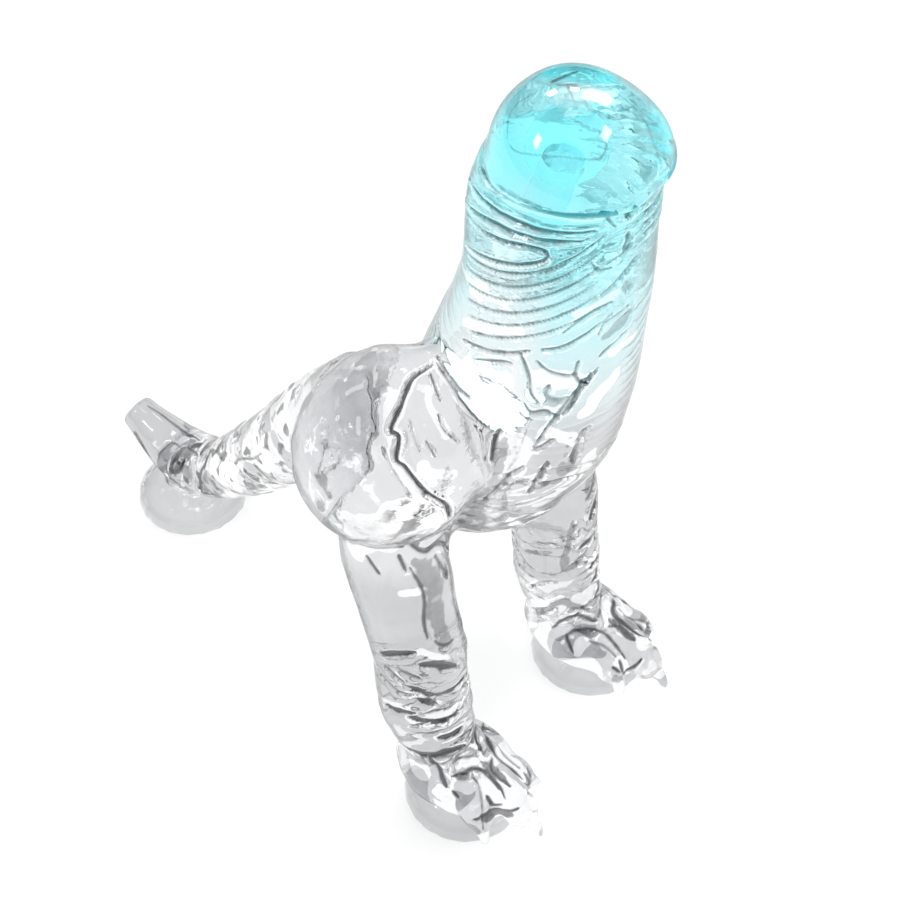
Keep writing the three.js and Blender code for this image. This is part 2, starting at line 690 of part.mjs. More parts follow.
// Both haunches, the rump between them, and the stubs that the legs and the tail plug into.
function haunches() {
  const aboveHips = halfSpace(new THREE.Vector3(0, 0, HIP_HEIGHT + GAP / 2), UP);
  const tailCut = tailSeam.clone().addScaledVector(tailAlong, -GAP / 2);
  const beforeTail = halfSpace(tailCut, tailAlong.clone().negate());
  const lobes = [-1, 1].map((side) => {
    const place = moved((side * FOOT_SPACING) / 2, HAUNCH_SETBACK, HAUNCH_HEIGHT)
      .multiply(new THREE.Matrix4().makeRotationY(-side * HAUNCH_ROLL))
      .multiply(new THREE.Matrix4().makeRotationX(HAUNCH_PITCH));
    return solid(ellipsoid(new THREE.Vector3(), HAUNCH_RADII), place);
  });
  const legStubs = [-1, 1].map((side) => legLimb(side).solid(16, 10).intersect(aboveHips));
  const rumpMiddle = new THREE.Vector3(0, RUMP_SETBACK, RUMP_HEIGHT);
  const rumpWidth = FOOT_SPACING / 2 - RUMP_INSET;
  const rumpRadii = new THREE.Vector3(rumpWidth, RUMP_LENGTH_RADIUS, RUMP_HEIGHT_RADIUS);
  const tailStub = tailLimb.solid(16, 14).intersect(beforeTail);
  const rump = solid(ellipsoid(rumpMiddle, rumpRadii)).add(tailStub);
  return joined([...lobes, ...legStubs, rump])
    .subtract(joined([-1, 1].map(legSpace)))
    .subtract(columnSpace)
    .subtract(lightUnitPath)
    .subtract(joined([-1, 1].map((side) => legPeg(side, GAP))))
    .subtract(tailPeg(GAP));
}

// ---- The figure ------------------------------------------------------------------------------

const figure = new THREE.Group();
figure.add(
  columnFrame,
  mesh("haunches", haunches(), clearElastomer),
  mesh("right_leg", leg(-1), clearElastomer),
  mesh("left_leg", leg(1), clearElastomer),
  mesh("tail", tail(), clearElastomer),
  suctionCup("right_foot_cup", -FOOT_SPACING / 2, 0),
  suctionCup("left_foot_cup", FOOT_SPACING / 2, 0),
  suctionCup("tail_cup", 0, TAIL_REACH),
);

// The middle of the bounds goes to the origin.
const bounds = new THREE.Box3().setFromObject(figure, true);
figure.position.y = -(bounds.min.y + bounds.max.y) / 2;

const part = new THREE.Group();
part.add(figure);

export default part;
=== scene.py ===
"""The finished look of a clear soft-moulded figure that stands on three suction cups.

Its column, haunches, legs and tail are clear elastomer castings, its cups are clear vinyl, and a small
light unit in the foot of the column lights its head cyan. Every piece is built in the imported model's
own frame, in metres, with +Z up and the figure facing -Y.
"""

import json
import math

import bpy
import numpy as np
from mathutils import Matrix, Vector, noise
from mathutils.bvhtree import BVHTree


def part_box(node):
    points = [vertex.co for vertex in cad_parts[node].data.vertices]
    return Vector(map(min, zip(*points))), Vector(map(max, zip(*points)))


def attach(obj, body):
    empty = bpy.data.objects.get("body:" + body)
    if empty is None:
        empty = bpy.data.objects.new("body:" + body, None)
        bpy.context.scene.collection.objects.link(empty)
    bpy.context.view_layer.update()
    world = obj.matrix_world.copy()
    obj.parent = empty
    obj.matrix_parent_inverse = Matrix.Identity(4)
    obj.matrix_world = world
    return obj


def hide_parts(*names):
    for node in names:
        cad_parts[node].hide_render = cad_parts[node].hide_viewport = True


bl_info = {
    "name": "Clear Table Figure",
    "version": (1, 0, 0),
    "blender": (4, 5, 0),
    "location": "3D View > Sidebar > Figure",
    "description": "Builds the looks of a clear figure on suction cups round its packed model",
    "category": "Object",
}

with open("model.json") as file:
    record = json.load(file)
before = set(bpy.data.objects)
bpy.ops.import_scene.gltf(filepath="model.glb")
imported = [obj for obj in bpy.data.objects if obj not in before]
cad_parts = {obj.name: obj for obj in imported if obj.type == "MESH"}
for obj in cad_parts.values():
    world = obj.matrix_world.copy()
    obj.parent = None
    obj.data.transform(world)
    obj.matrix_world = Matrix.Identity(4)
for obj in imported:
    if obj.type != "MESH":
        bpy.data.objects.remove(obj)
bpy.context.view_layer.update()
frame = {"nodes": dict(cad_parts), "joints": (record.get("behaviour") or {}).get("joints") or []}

MM = 0.001
OVERLAP = 0.36 * MM  # how far the column's foot reaches into the haunches, so that the two are one casting
BROAD = 1.0 * MM  # a stroke with a half width of this or more has ragged edges
CURVE_STEPS = 6  # points on each span of a stroke's curve


# ---- Where things are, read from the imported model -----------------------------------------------


def joint(name):
    return next(j for j in frame["joints"] if j["name"] == name)


def cad_points(node):
    mesh = frame["nodes"][node].data
    points = np.empty(len(mesh.vertices) * 3)
    mesh.vertices.foreach_get("co", points)
    return points.reshape(-1, 3)


class ColumnFrame:
    """The straight axis that the light unit slides on: foot is on the column's underside."""

    def __init__(self):
        self.foot = np.array(joint("end_cap_turn")["pos_m"], float)
        self.up = -np.array(joint("light_unit_slide")["axis"], float)
        self.up /= np.linalg.norm(self.up)
        self.side = np.array([1.0, 0.0, 0.0])
        self.back = np.cross(self.up, self.side)

    def local(self, points):
        offset = points - self.foot
        return np.stack([offset @ self.side, offset @ self.back, offset @ self.up], axis=-1)

    def world(self, local):
        return self.foot + np.outer(local[:, 0], self.side) + np.outer(local[:, 1], self.back) + np.outer(
            local[:, 2], self.up
        )


COLUMN = ColumnFrame()
UNIT_RADIUS = float(np.hypot(*COLUMN.local(cad_points("barrel"))[:, :2].T).max())
UNIT_TOP = float(COLUMN.local(cad_points("light_window"))[:, 2].max())


# ---- What a user would change -------------------------------------------------------------------


def length(name, description, default):
    """A size in metres; the default is given in millimetres."""
    return bpy.props.FloatProperty(
        name=name, description=description, default=default * MM, unit="LENGTH", precision=5
    )


def colour(name, description, default):
    return bpy.props.FloatVectorProperty(
        name=name, description=description, default=default, subtype="COLOR", size=3, min=0.0, max=1.0
    )


class FigureSizes(bpy.types.PropertyGroup):
    """Sizes of the moulded detail."""

    rough_voxel: length("Rough grain", "Spacing of the points that round off the limbs", 0.8)
    voxel: length("Casting grain", "Spacing of the casting's surface points", 0.42)
    cup_voxel: length("Cup grain", "Spacing of the cups' surface points", 0.42)
    hip_height: length("Hip height", "Where the legs begin under the haunches", 80.0)
    fold_depth: length("Fold depth", "Depth of the folds under the head", 0.75)
    fold_spacing: length("Fold spacing", "Distance between the folds under the head", 2.6)
    wrinkle_depth: length("Wrinkle depth", "Depth of the wrinkles round the column", 0.42)
    rim_lift: length("Rim lift", "How much higher the head's rim is in front than behind", 7.0)
    bore_clearance: length("Bore clearance", "Between the light unit and the column's bore", 0.3)


class FigureColours(bpy.types.PropertyGroup):
    """Colours of the clear materials, and of the painted shade, painted highlights, painted light and painted glow
    on them.
    """

    clear: colour("Clear", "Tint of the clear elastomer", (0.60, 0.605, 0.62))
    vinyl: colour("Vinyl", "Tint of the clear vinyl cups", (0.60, 0.605, 0.61))
    # Painted light: a paler tint that makes the haunches look brighter than the rest of the casting
    bulk: colour("Bulk", "Tint of the haunches, which more light crosses", (0.91, 0.915, 0.925))
    # Painted highlight colour for the ridges and pale patches
    bright: colour("Bright", "Tint of the clear elastomer on its ridges", (0.97, 0.97, 0.975))
    # Painted shade colour for the folds, and for the rims of the castings and the cups
    shade_colour: colour("Fold", "Tint of the clear elastomer in its folds", (0.015, 0.015, 0.017))
    # Painted cyan light where the light unit fills the head
    lit: colour("Lit head", "Tint of the elastomer where the light fills it", (0.22, 0.70, 0.74))
    # Painted highlight colour on the lit head
    lit_highlight: colour("Lit ridges", "Tint of the lit elastomer on its ridges", (0.60, 0.92, 0.93))
    # Painted shade colour in the lit head
    lit_shade_colour: colour("Lit folds", "Tint of the lit elastomer in its folds", (0.01, 0.09, 0.105))
    # Painted highlights, given off as emission
    sparkle: colour("Sparkle", "Light that the bright ridges throw back", (0.62, 0.62, 0.62))
    # Painted glow of the lit head and the diffuser, given off as emission
    glow: colour("Glow", "Colour that the lit head gives off", (0.02, 0.48, 0.54))


class StageSettings(bpy.types.PropertyGroup):
    """Camera, floor and lights."""

    azimuth: bpy.props.FloatProperty(
        name="Azimuth", description="Camera's turn round it", default=math.radians(-51.8), subtype="ANGLE"
    )
    elevation: bpy.props.FloatProperty(
        name="Elevation", description="Camera's height angle", default=math.radians(50.2), subtype="ANGLE"
    )
    distance: bpy.props.FloatProperty(
        name="Distance", description="From the camera to its aim", default=0.5096, unit="LENGTH"
    )
    aim: bpy.props.FloatVectorProperty(
        name="Aim", description="Point on the floor that the camera looks at", default=(0.0561, 0.0133, 0.0)
    )
    lens: bpy.props.FloatProperty(
        name="Lens", description="Focal length in millimetres on a 36 mm sensor", default=72.0
    )
    floor: colour("Floor", "Colour of the floor", (0.93, 0.93, 0.93))


# ---- Drawn detail --------------------------------------------------------------------------------

# Each group is a half width, a depth, a darkness of painted shade and its strokes, and a group of painted
# highlight patches has a strength in place of the last two, with sizes in millimetres. On the column a stroke's
# points are (turn, level): degrees round it, 0 behind and -180 in front, and millimetres above its foot. On the
# other castings they are (x, y, z) from the middle of the nearest cup's rim, and on the head from its top.

COLUMN_STROKES = (
    # Folds just under the head's rim
    (0.55, 0.9, 1.0, (((-37, 105), (-69, 109), (-106, 112), (-152, 113)),)),
    (0.45, 0.7, 0.85, (
        ((-31, 101), (-68, 105), (-107, 108), (-141, 110)),
        ((-35, 97), (-72, 103), (-108, 106), (-135, 108)),
        ((-46, 97), (-78, 101), (-102, 104), (-111, 103), (-101, 100), (-74, 95), (-46, 90)),
    )),
    # Short folds on the front
    (0.45, 0.4, 0.6, (
        ((-140, 113), (-147, 112), (-153, 110)),
        ((-149, 102), (-158, 103), (-168, 105)),
        ((-147, 95), (-165, 99), (-174, 101)),
        ((-138, 103), (-144, 101), (-152, 101)),
        ((-150, 85), (-153, 88), (-162, 89), (-172, 90)),
    )),
    (0.8, 0.6, 0.9, (((-163, 114), (-164, 112), (-161, 111)), ((-108, 57), (-106, 53), (-106, 49)))),
    # Creases from the middle of the shaft down to where it swells
    (0.5, 0.5, 0.6, (
        ((-127, 86), (-142, 91), (-157, 93)),
        ((-118, 81), (-131, 83), (-157, 90)),
        ((-68, 71), (-95, 76), (-112, 80)),
        ((-81, 70), (-97, 74), (-104, 75)),
        ((-64, 59), (-76, 60), (-86, 61)),
        ((-68, 56), (-97, 57)),
        ((-147, 74), (-142, 67), (-139, 64)),
        ((-138, 57), (-129, 53)),
        ((-139, 50), (-137, 45), (-135, 39)),
        ((-128, 48), (-122, 44), (-116, 33)),
    )),
    (0.6, 0.5, 0.65, (
        ((-116, 78), (-123, 76), (-133, 75), (-142, 75)),
        ((-163, 108), (-164, 106), (-161, 104)),
        ((-154, 79), (-162, 81), (-178, 84)),
        ((-141, 79), (-141, 75), (-148, 72), (-150, 75)),
        ((-155, 76), (-143, 70), (-133, 61), (-129, 54)),
        ((-107, 78), (-115, 73), (-118, 69), (-124, 67)),
        ((-116, 66), (-121, 64), (-129, 65), (-137, 63)),
    )),
    (0.9, 0.6, 0.55, (
        ((-157, 59), (-154, 56), (-154, 48)),
        ((-127, 72), (-127, 69), (-134, 68), (-140, 69)),
    )),
    # Broad shadows
    (1.6, 0.3, 0.45, (
        ((-154, 84), (-173, 88)),
        ((-164, 95), (-169, 95)),
        ((-147, 49), (-151, 45), (-153, 51)),
    )),
)

# Painted highlight patches on the column
COLUMN_HIGHLIGHTS = (
    (1.6, 1.0, (((-81, 99), (-102, 102), (-107, 102)), ((-163, 79), (-179, 80)))),
    (3.2, 0.9, (((-92, 70), (-101, 68), (-106, 61)), ((-116, 55), (-124, 51), (-114, 41)))),
    (2.6, 0.9, (((-80, 67), (-96, 66)), ((-121, 74), (-138, 74)))),
    (2.0, 1.0, (
        ((-153, 64), (-161, 68), (-168, 71)),
        ((-132, 59), (-142, 58), (-151, 55)),
        ((-165, 48), (-163, 42), (-150, 37)),
    )),
    (1.1, 1.0, (
        ((-63, 83), (-81, 87), (-97, 91)),
        ((-46, 83), (-60, 85), (-75, 88)),
        ((-66, 75), (-85, 80), (-104, 84)),
        ((-133, 91), (-147, 93), (-160, 95)),
    )),
)

# Faint edges of painted shade inside the lit head
HEAD_STROKES = (
    (0.3, 0.0, 0.5, (
        ((-12, 7, -7), (-9, 9, -5), (-7, 9, -3), (-5, 7, -1)),
        ((-12, 7, -7), (-13, 4, -7), (-10, -4, -6), (-7, -8, -6), (-4, -7, -4), (-5, -4, -3), (-6, -1, -2)),
        ((1, -4, -1), (0, -6, -3), (0, -8, -4)),
    )),
    (0.4, 0.0, 0.5, (
        ((-4, -1, -1), (-1, 3, 0), (-1, -4, -1)),
        ((3, 1, 0), (4, -4, -2), (5, -8, -5), (3, -12, -9), (2, -13, -12)),
    )),
    (0.6, 0.0, 0.9, (((-2, 6, 0), (0, 5, 0), (3, 4, 0)),)),
)

# Painted highlight patches in the lit head
HEAD_HIGHLIGHTS = (
    (2.5, 1.0, (((-3, 2, 0), (-4, -1, -1)),)),
    (2.0, 0.9, (((0, -1, 0), (1, -3, -1)),)),
)

RIGHT_STROKES = (
    # The crease over the haunch, and the fine lines beside it
    (0.58, 1.0, 0.95, (
        ((5, 13, 140), (0, 14, 140), (-5, 13, 137), (-8, 13, 133), (-8, 11, 132), (-10, 10, 128),
            (-10, 8, 127), (-9, 4, 122), (-8, 2, 120), (-6, 1, 117), (-5, 1, 112)),
    )),
    (0.5, 0.4, 0.5, (
        ((3, 12, 140), (1, 9, 140), (0, 7, 138)),
        ((-2, 6, 137), (-3, 4, 135), (-2, 1, 132)),
        ((-6, 6, 133), (-6, 4, 130)),
    )),
    (0.45, 0.3, 0.4, (
        ((-10, 13, 130), (-11, 10, 126), (-11, 6, 121)),
        ((-7, 10, 134), (-8, 9, 132), (-10, 9, 129)),
        ((-6, 10, 136), (-7, 8, 133), (-8, 6, 131)),
    )),
    # The top of the leg, with painted shade under the haunch
    (0.9, 0.5, 1.0, (((-8, 10, 99), (-3, 9, 92), (2, 9, 90), (8, 11, 80)),)),
    (3.0, 0.0, 0.5, (((-5, 10, 91), (-3, 9, 85), (-1, 8, 79), (-2, 7, 70), (-1, 5, 60)),)),
    (0.8, 0.3, 0.8, (
        ((-8, 12, 94), (-7, 11, 88)),
        ((0, 8, 88), (2, 9, 82), (3, 8, 77)),
        ((-6, 11, 89), (-4, 9, 79), (-5, 8, 70), (-5, 7, 64)),
        ((-11, 15, 87), (-11, 18, 92)),
        ((-4, 6, 63), (-2, 5, 60), (1, 5, 59)),
    )),
    (0.8, 0.3, 0.55, (((-11, 24, 78), (-8, 24, 60)),)),
    # Folds of skin down the leg
    (1.0, 0.6, 0.8, (
        ((-11, 16, 57), (-10, 12, 60), (-8, 8, 61)),
        ((-10, 10, 49), (-8, 7, 47), (-5, 4, 44), (4, 3, 44)),
        ((-10, 15, 36), (-10, 11, 37), (-9, 8, 38)),
        ((-10, 9, 36), (-8, 6, 35), (-4, 3, 33), (0, 2, 33)),
        ((-6, 4, 28), (-3, 2, 27), (0, 1, 27)),
    )),
    (1.3, 0.6, 0.8, (
        ((-8, 7, 57), (-4, 5, 55), (0, 3, 51)),
        ((-9, 8, 44), (-6, 4, 41)),
        ((-10, 12, 20), (-8, 5, 21), (-5, 2, 22), (-1, 0, 21)),
    )),
    (1.4, 0.4, 0.5, (((5, 5, 55), (7, 5, 38), (1, 3, 41)),)),
    (0.7, 0.5, 0.65, (
        ((-10, 12, 55), (-9, 9, 53), (-8, 7, 52)),
        ((-10, 17, 47), (-11, 14, 46), (-10, 11, 45), (-9, 8, 46)),
        ((-11, 15, 54), (-11, 13, 52), (-10, 10, 50)),
    )),
    # Tendons and toe webs
    (0.8, 0.5, 0.85, (
        ((-7, -1, 16), (-5, -3, 17), (-2, -5, 18), (-2, -11, 16), (-3, -14, 14)),
        ((-5, -10, 14), (-5, -12, 12), (-4, -14, 13)),
        ((-9, -3, 14), (-9, -5, 13)),
        ((-8, 5, 20), (-8, 1, 15), (-9, -1, 14)),
        ((-10, -10, 10), (-8, -12, 11), (-5, -14, 11), (-2, -17, 12)),
        ((9, 2, 15), (11, -2, 12)),
        ((6, -13, 13), (6, -15, 9), (2, -17, 13)),
    )),
    (1.4, 0.4, 0.6, (((0, -5, 17), (0, -9, 17), (0, -13, 16)), ((-9, -12, 10), (-4, -17, 11)))),
    (0.6, 0.4, 0.55, (
        ((7, -4, 15), (6, -8, 15), (6, -12, 14)),
        ((-7, 2, 18), (-4, 0, 19), (0, -2, 17), (3, -2, 17)),
    )),
)

# Painted highlight patches on the haunches, legs and feet
RIGHT_HIGHLIGHTS = (
    # On the haunch
    (1.0, 1.0, (
        ((-4, 15, 138), (-6, 15, 136), (-9, 12, 132), (-11, 9, 127), (-10, 4, 121)),
        ((0, 10, 139), (-2, 8, 138), (-3, 3, 134)),
    )),
    (1.5, 1.0, (((-8, 5, 128), (-8, 4, 127), (-5, 0, 126)),)),
    (3.0, 1.0, (
        ((-16, 18, 109), (-15, 15, 109), (-13, 9, 116), (-11, 6, 119)),
        ((-15, 20, 102), (-14, 15, 105), (-11, 7, 111), (-7, 2, 113)),
    )),
    (0.7, 0.7, (
        ((-5, 23, 136), (-6, 25, 133)),
        ((-9, 20, 132), (-11, 19, 130)),
        ((-13, 18, 125), (-14, 15, 122)),
    )),
    # On the leg
    (3.0, 1.0, (((-12, 21, 92), (-12, 16, 98), (-10, 13, 97)),)),
    (1.2, 1.0, (
        ((-8, 11, 81), (-5, 9, 80)),
        ((-8, 6, 38), (-4, 3, 36), (0, 2, 36)),
        ((-10, 16, 37), (-11, 12, 39), (-10, 9, 40)),
        ((-7, 8, 61), (-5, 6, 59), (-2, 4, 56)),
    )),
    (0.8, 1.0, (((-2, 8, 75), (-1, 7, 75)),)),
    # On the foot
    (2.3, 1.0, (
        ((5, -7, 16), (5, -10, 14), (5, -13, 13)),
        ((-2, -15, 15), (-1, -17, 14), (1, -19, 11)),
        ((-10, 0, 13), (-11, -3, 12), (-11, -5, 8)),
        ((-4, -19, 10), (0, -21, 9)),
    )),
    (1.5, 1.0, (((-3, -2, 17), (0, -5, 17), (1, -7, 18)),)),
)

LEFT_STROKES = (
    # Folds of skin down the inside of the leg
    (1.4, 0.3, 0.35, (((-8, 20, 44), (-11, 13, 53), (-8, 7, 53), (-5, 4, 49)),)),
    (0.5, 0.4, 0.45, (
        ((-7, 5, 46), (-4, 3, 43), (-1, 3, 42)),
        ((-6, 4, 39), (-2, 2, 37), (4, 3, 31)),
        ((-11, 13, 27), (-10, 9, 32), (-8, 6, 33)),
    )),
    (1.3, 0.6, 0.55, (((-6, 14, 13), (-9, 7, 22), (-8, 4, 25), (-5, 2, 22), (-2, 0, 19)),)),
    # Tendons and toe webs
    (0.8, 0.45, 0.75, (
        ((-9, 6, 14), (-8, 4, 17), (-6, 2, 19), (-2, -3, 18)),
        ((-11, 3, 13), (-7, 0, 16), (-4, -6, 17), (-4, -13, 12)),
        ((-2, -6, 17), (0, -8, 17), (0, -13, 15)),
        ((-8, -12, 12), (-7, -14, 10)),
    )),
    (0.6, 0.4, 0.5, (((4, -5, 17), (5, -8, 15), (8, -11, 12), (10, -13, 8)),)),
)

# Painted highlight patches on the legs and feet
LEFT_HIGHLIGHTS = (
    (1.2, 1.0, (((7, -1, 17), (4, -1, 17), (1, -3, 17)), ((-10, 12, 21), (-10, 8, 24), (-8, 5, 27)))),
    (2.8, 1.0, (((0, -13, 16), (0, -17, 14), (2, -20, 11)),)),
    (1.8, 1.0, (((-8, -3, 15), (-10, -3, 13)), ((8, -3, 15), (6, -6, 15)))),
)

# Folds over the heel of the tail and up its length
TAIL_STROKES = (
    (0.8, 0.3, 0.8, (
        ((-7, 6, 14), (-6, 11, 19), (-5, 14, 21)),
        ((-5, -5, 23), (-7, -5, 21), (-8, -3, 18)),
        ((-2, -14, 33), (-6, -14, 29), (-7, -13, 26), (-8, -13, 19)),
    )),
    (0.65, 0.25, 0.65, (
        ((1, 14, 26), (2, 10, 25), (2, 0, 24), (1, -5, 25)),
        ((-7, 4, 20), (-5, 3, 22), (-3, 2, 23), (-3, -1, 24)),
        ((-2, -3, 24), (-3, -6, 26), (-4, -9, 26)),
        ((-9, -28, 43), (-10, -32, 48), (-10, -37, 52), (-11, -41, 58)),
        ((-4, -21, 42), (-7, -23, 40), (-8, -21, 34)),
    )),
)


def even_folds():
    """Six even folds that climb from beside the column to its front, under the ones at the head's rim."""
    count, pitch, rise = 6, 3.3, 11.5
    for k in range(count):
        beside = (-48 - 4.5 * k, 88.5 - 0.85 * pitch * k)
        middle = (-97, 97 - pitch * k)
        front = (-145, middle[1] + rise)
        yield 0.4, 0.45, 0.6 - 0.03 * k, ((beside, middle, front),)


# ---- Shader maths --------------------------------------------------------------------------------


def find_socket(sockets, key):
    """A socket by its identifier, its name or its place."""
    if isinstance(key, int):
        return sockets[key]
    for socket in sockets:
        if socket.identifier == key:
            return socket
    return sockets[key]


class Value:
    """An output socket. Arithmetic on it adds Math nodes to its tree."""

    def __init__(self, nodes, socket):
        self.nodes = nodes
        self.socket = socket

    def _math(self, operation, *operands):
        settings = {"operation": operation}
        return self.nodes.node("ShaderNodeMath", settings, dict(enumerate(operands)))

    def __add__(self, other):
        return self._math("ADD", self, other)

    def __radd__(self, other):
        return self._math("ADD", other, self)

    def __sub__(self, other):
        return self._math("SUBTRACT", self, other)

    def __rsub__(self, other):
        return self._math("SUBTRACT", other, self)

    def __mul__(self, other):
        return self._math("MULTIPLY", self, other)

    def __rmul__(self, other):
        return self._math("MULTIPLY", other, self)


class Nodes:
    """A node tree that is being built."""

    def __init__(self, tree):
        self.tree = tree

    def node(self, kind, settings=None, sockets=None, output=0):
        """Adds a node: its settings first, then the values or links of its sockets."""
        made = self.tree.nodes.new(kind)
        for key, value in (settings or {}).items():
            if key == "stops":
                self._stops(made.color_ramp, value)
            else:
                setattr(made, key, value)
        for key, value in (sockets or {}).items():
            self.feed(find_socket(made.inputs, key), value)
        return Value(self, find_socket(made.outputs, output))

    @staticmethod
    def _stops(ramp, stops):
        while len(ramp.elements) < len(stops):
            ramp.elements.new(1.0)
        for element, (position, value) in zip(ramp.elements, stops):
            element.position = position
            element.color = value

    def feed(self, socket, value):
        if isinstance(value, Value):
            self.tree.links.new(value.socket, socket)
        else:
            socket.default_value = value


class Finish(Nodes):
    """A material with one Principled shader."""

    def __init__(self, name, **constants):
        self.material = bpy.data.materials.new(name)
        self.material.use_nodes = True
        super().__init__(self.material.node_tree)
        self.shader = self.tree.nodes["Principled BSDF"]
        self.set(**constants)

    def set(self, **inputs):
        for key, value in inputs.items():
            self.feed(self.shader.inputs[key.replace("_", " ")], value)

    # Nodes that several finishes use

    def place(self):
        """Position in the figure's frame, in metres."""
        return self.node("ShaderNodeTexCoord", output="Object")

    def attribute(self, name):
        """A value that the mesh carries at each of its points."""
        return self.node("ShaderNodeAttribute", {"attribute_name": name}, output="Fac")

    def height(self):
        return self.node("ShaderNodeSeparateXYZ", sockets={"Vector": self.place()}, output="Z")

    def noise(self, per_metre, detail=3.0, stretch=(1.0, 1.0, 1.0)):
        scaled = self.node(
            "ShaderNodeVectorMath", {"operation": "MULTIPLY"}, {0: self.place(), 1: stretch}, output="Vector"
        )
        inputs = {"Vector": scaled, "Scale": per_metre, "Detail": detail, "Roughness": 0.55}
        return self.node("ShaderNodeTexNoise", sockets=inputs, output="Fac")

    def smooth(self, value, low, high, start=0.0, end=1.0):
        settings = {"interpolation_type": "SMOOTHSTEP"}
        inputs = {"Value": value, "From Min": low, "From Max": high, "To Min": start, "To Max": end}
        return self.node("ShaderNodeMapRange", settings, inputs, output="Result")

    def mix(self, factor, first, second):
        settings = {"data_type": "RGBA"}
        inputs = {"Factor_Float": factor, "A_Color": opaque(first), "B_Color": opaque(second)}
        return self.node("ShaderNodeMix", settings, inputs, output="Result_Color")

    def edge(self, low, high):
        """Rises from 0 to 1 where the surface turns away from the eye, at the rim of a clear piece; the clear
        finishes paint their rims dark with it.
        """
        facing = self.node("ShaderNodeLayerWeight", sockets={"Blend": 0.5}, output="Facing")
        return self.smooth(facing, low, high)

    def bump(self, height, distance, strength=1.0):
        inputs = {"Height": height, "Distance": distance, "Strength": strength}
        return self.node("ShaderNodeBump", sockets=inputs, output="Normal")


def opaque(value):
    """A colour with its alpha, or a link as it is."""
    return value if isinstance(value, Value) else (*value, 1.0)


# ---- Materials -----------------------------------------------------------------------------------


def clear_elastomer(colours):
    """Clear gel-like elastomer, with painted shade in its folds and along its rims, painted highlights on its
    ridges, and painted cyan light and glow towards the head.
    """
    finish = Finish(
        "clear_elastomer",
        Transmission_Weight=1.0,
        IOR=1.2,
        Coat_Roughness=0.03,
        Coat_IOR=1.5,
        Emission_Strength=0.3,
    )
    grain = finish.noise(900.0, detail=2.0) - 0.5
    cloud = finish.noise(90.0)
    # Painted highlights from the mesh, with edges made ragged by a fine grain
    pale = finish.smooth(finish.attribute("pale") + grain * 0.5, 0.40, 0.58)
    # Painted shade from the mesh, in its folds and lines
    ink = finish.smooth(finish.attribute("ink") + grain * 0.1, 0.08, 0.72)
    clear = tuple(colours.clear)
    base = finish.mix(finish.smooth(cloud, 0.3, 0.7), tuple(0.94 * c for c in clear), clear)
    # Painted light: the haunches get a paler tint, to look brighter
    base = finish.mix(finish.attribute("bulk"), base, tuple(colours.bulk))
    # Painted highlights turn the tint nearly white
    base = finish.mix(pale, base, tuple(colours.bright))
    head = COLUMN.foot[2] + 0.104
    # Painted cyan light from the light unit, full in the head and fading out down the column; the haunches are
    # kept clear of it
    fade = finish.smooth(finish.height() + (cloud - 0.5) * 0.012, head - 0.062, head + 0.004)
    fade = fade * (1.0 - finish.attribute("bulk"))
    # The lit head's painted cyan tint, with painted highlights on its ridges
    base = finish.mix(fade, base, finish.mix(pale, tuple(colours.lit), tuple(colours.lit_highlight)))
    # Painted shade: dark grey in the folds and along the rims, dark teal in the lit head
    dark = finish.mix(fade, tuple(colours.shade_colour), tuple(colours.lit_shade_colour))
    edge = finish.edge(0.60, 0.86)
    shade = 1.0 - (1.0 - ink) * (1.0 - edge * 0.85)
    base = finish.mix(shade, base, dark)
    finish.set(Base_Color=base, Roughness=finish.smooth(finish.noise(260.0), 0.3, 0.7, 0.0, 0.03))
    finish.set(Coat_Weight=1.0 - edge)
    # Painted highlights also given off as emission, and the lit head's painted glow
    shine = finish.mix(pale * (1.0 - ink), (0.0, 0.0, 0.0), tuple(colours.sparkle))
    finish.set(Emission_Color=finish.mix(fade * (1.0 - shade), shine, tuple(colours.glow)))
    ripple = finish.noise(330.0, detail=2.0, stretch=(1.0, 1.0, 1.6))
    finish.set(Normal=finish.bump(ripple, 0.0003, 0.25))
    return finish.material


def clear_vinyl(colours):
    finish = Finish("clear_vinyl", Transmission_Weight=1.0, IOR=1.2, Coat_Weight=1.0, Coat_Roughness=0.04)
    swirl = finish.noise(120.0)
    clear = tuple(colours.vinyl)
    paler = tuple(min(1.0, c + 0.05) for c in clear)
    edge = finish.edge(0.72, 0.98)
    # Painted shade along the cups' rims, where the surface turns away from the eye
    finish.set(Base_Color=finish.mix(edge * 0.6, finish.mix(swirl, clear, paler), tuple(colours.shade_colour)))
    finish.set(Roughness=finish.smooth(finish.noise(400.0), 0.3, 0.7, 0.02, 0.06))
    finish.set(Normal=finish.bump(finish.noise(200.0), 0.0003, 0.3))
    return finish.material


def embedded_acrylic():
    """A clear rod cast into clear elastomer: next to no step in refraction between the two."""
    finish = Finish("clear_acrylic", Transmission_Weight=1.0, IOR=1.03)
    streak = finish.noise(300.0, stretch=(1.0, 1.0, 0.1))
    finish.set(Base_Color=finish.mix(streak, (0.86, 0.97, 0.98), (0.97, 1.0, 1.0)), Roughness=streak * 0.05)
    return finish.material


def window_acrylic():
    # The window gives off a painted glow of the LED's light
    finish = Finish("window_acrylic", Transmission_Weight=0.7, IOR=1.3, Emission_Strength=0.5)
    haze = finish.noise(500.0)
    finish.set(Base_Color=finish.mix(haze, (0.9, 0.97, 0.98), (0.97, 1.0, 1.0)), Roughness=0.25 + haze * 0.2)
    finish.set(Emission_Color=finish.mix(haze, (0.7, 0.95, 0.97), (0.9, 1.0, 1.0)))
    return finish.material


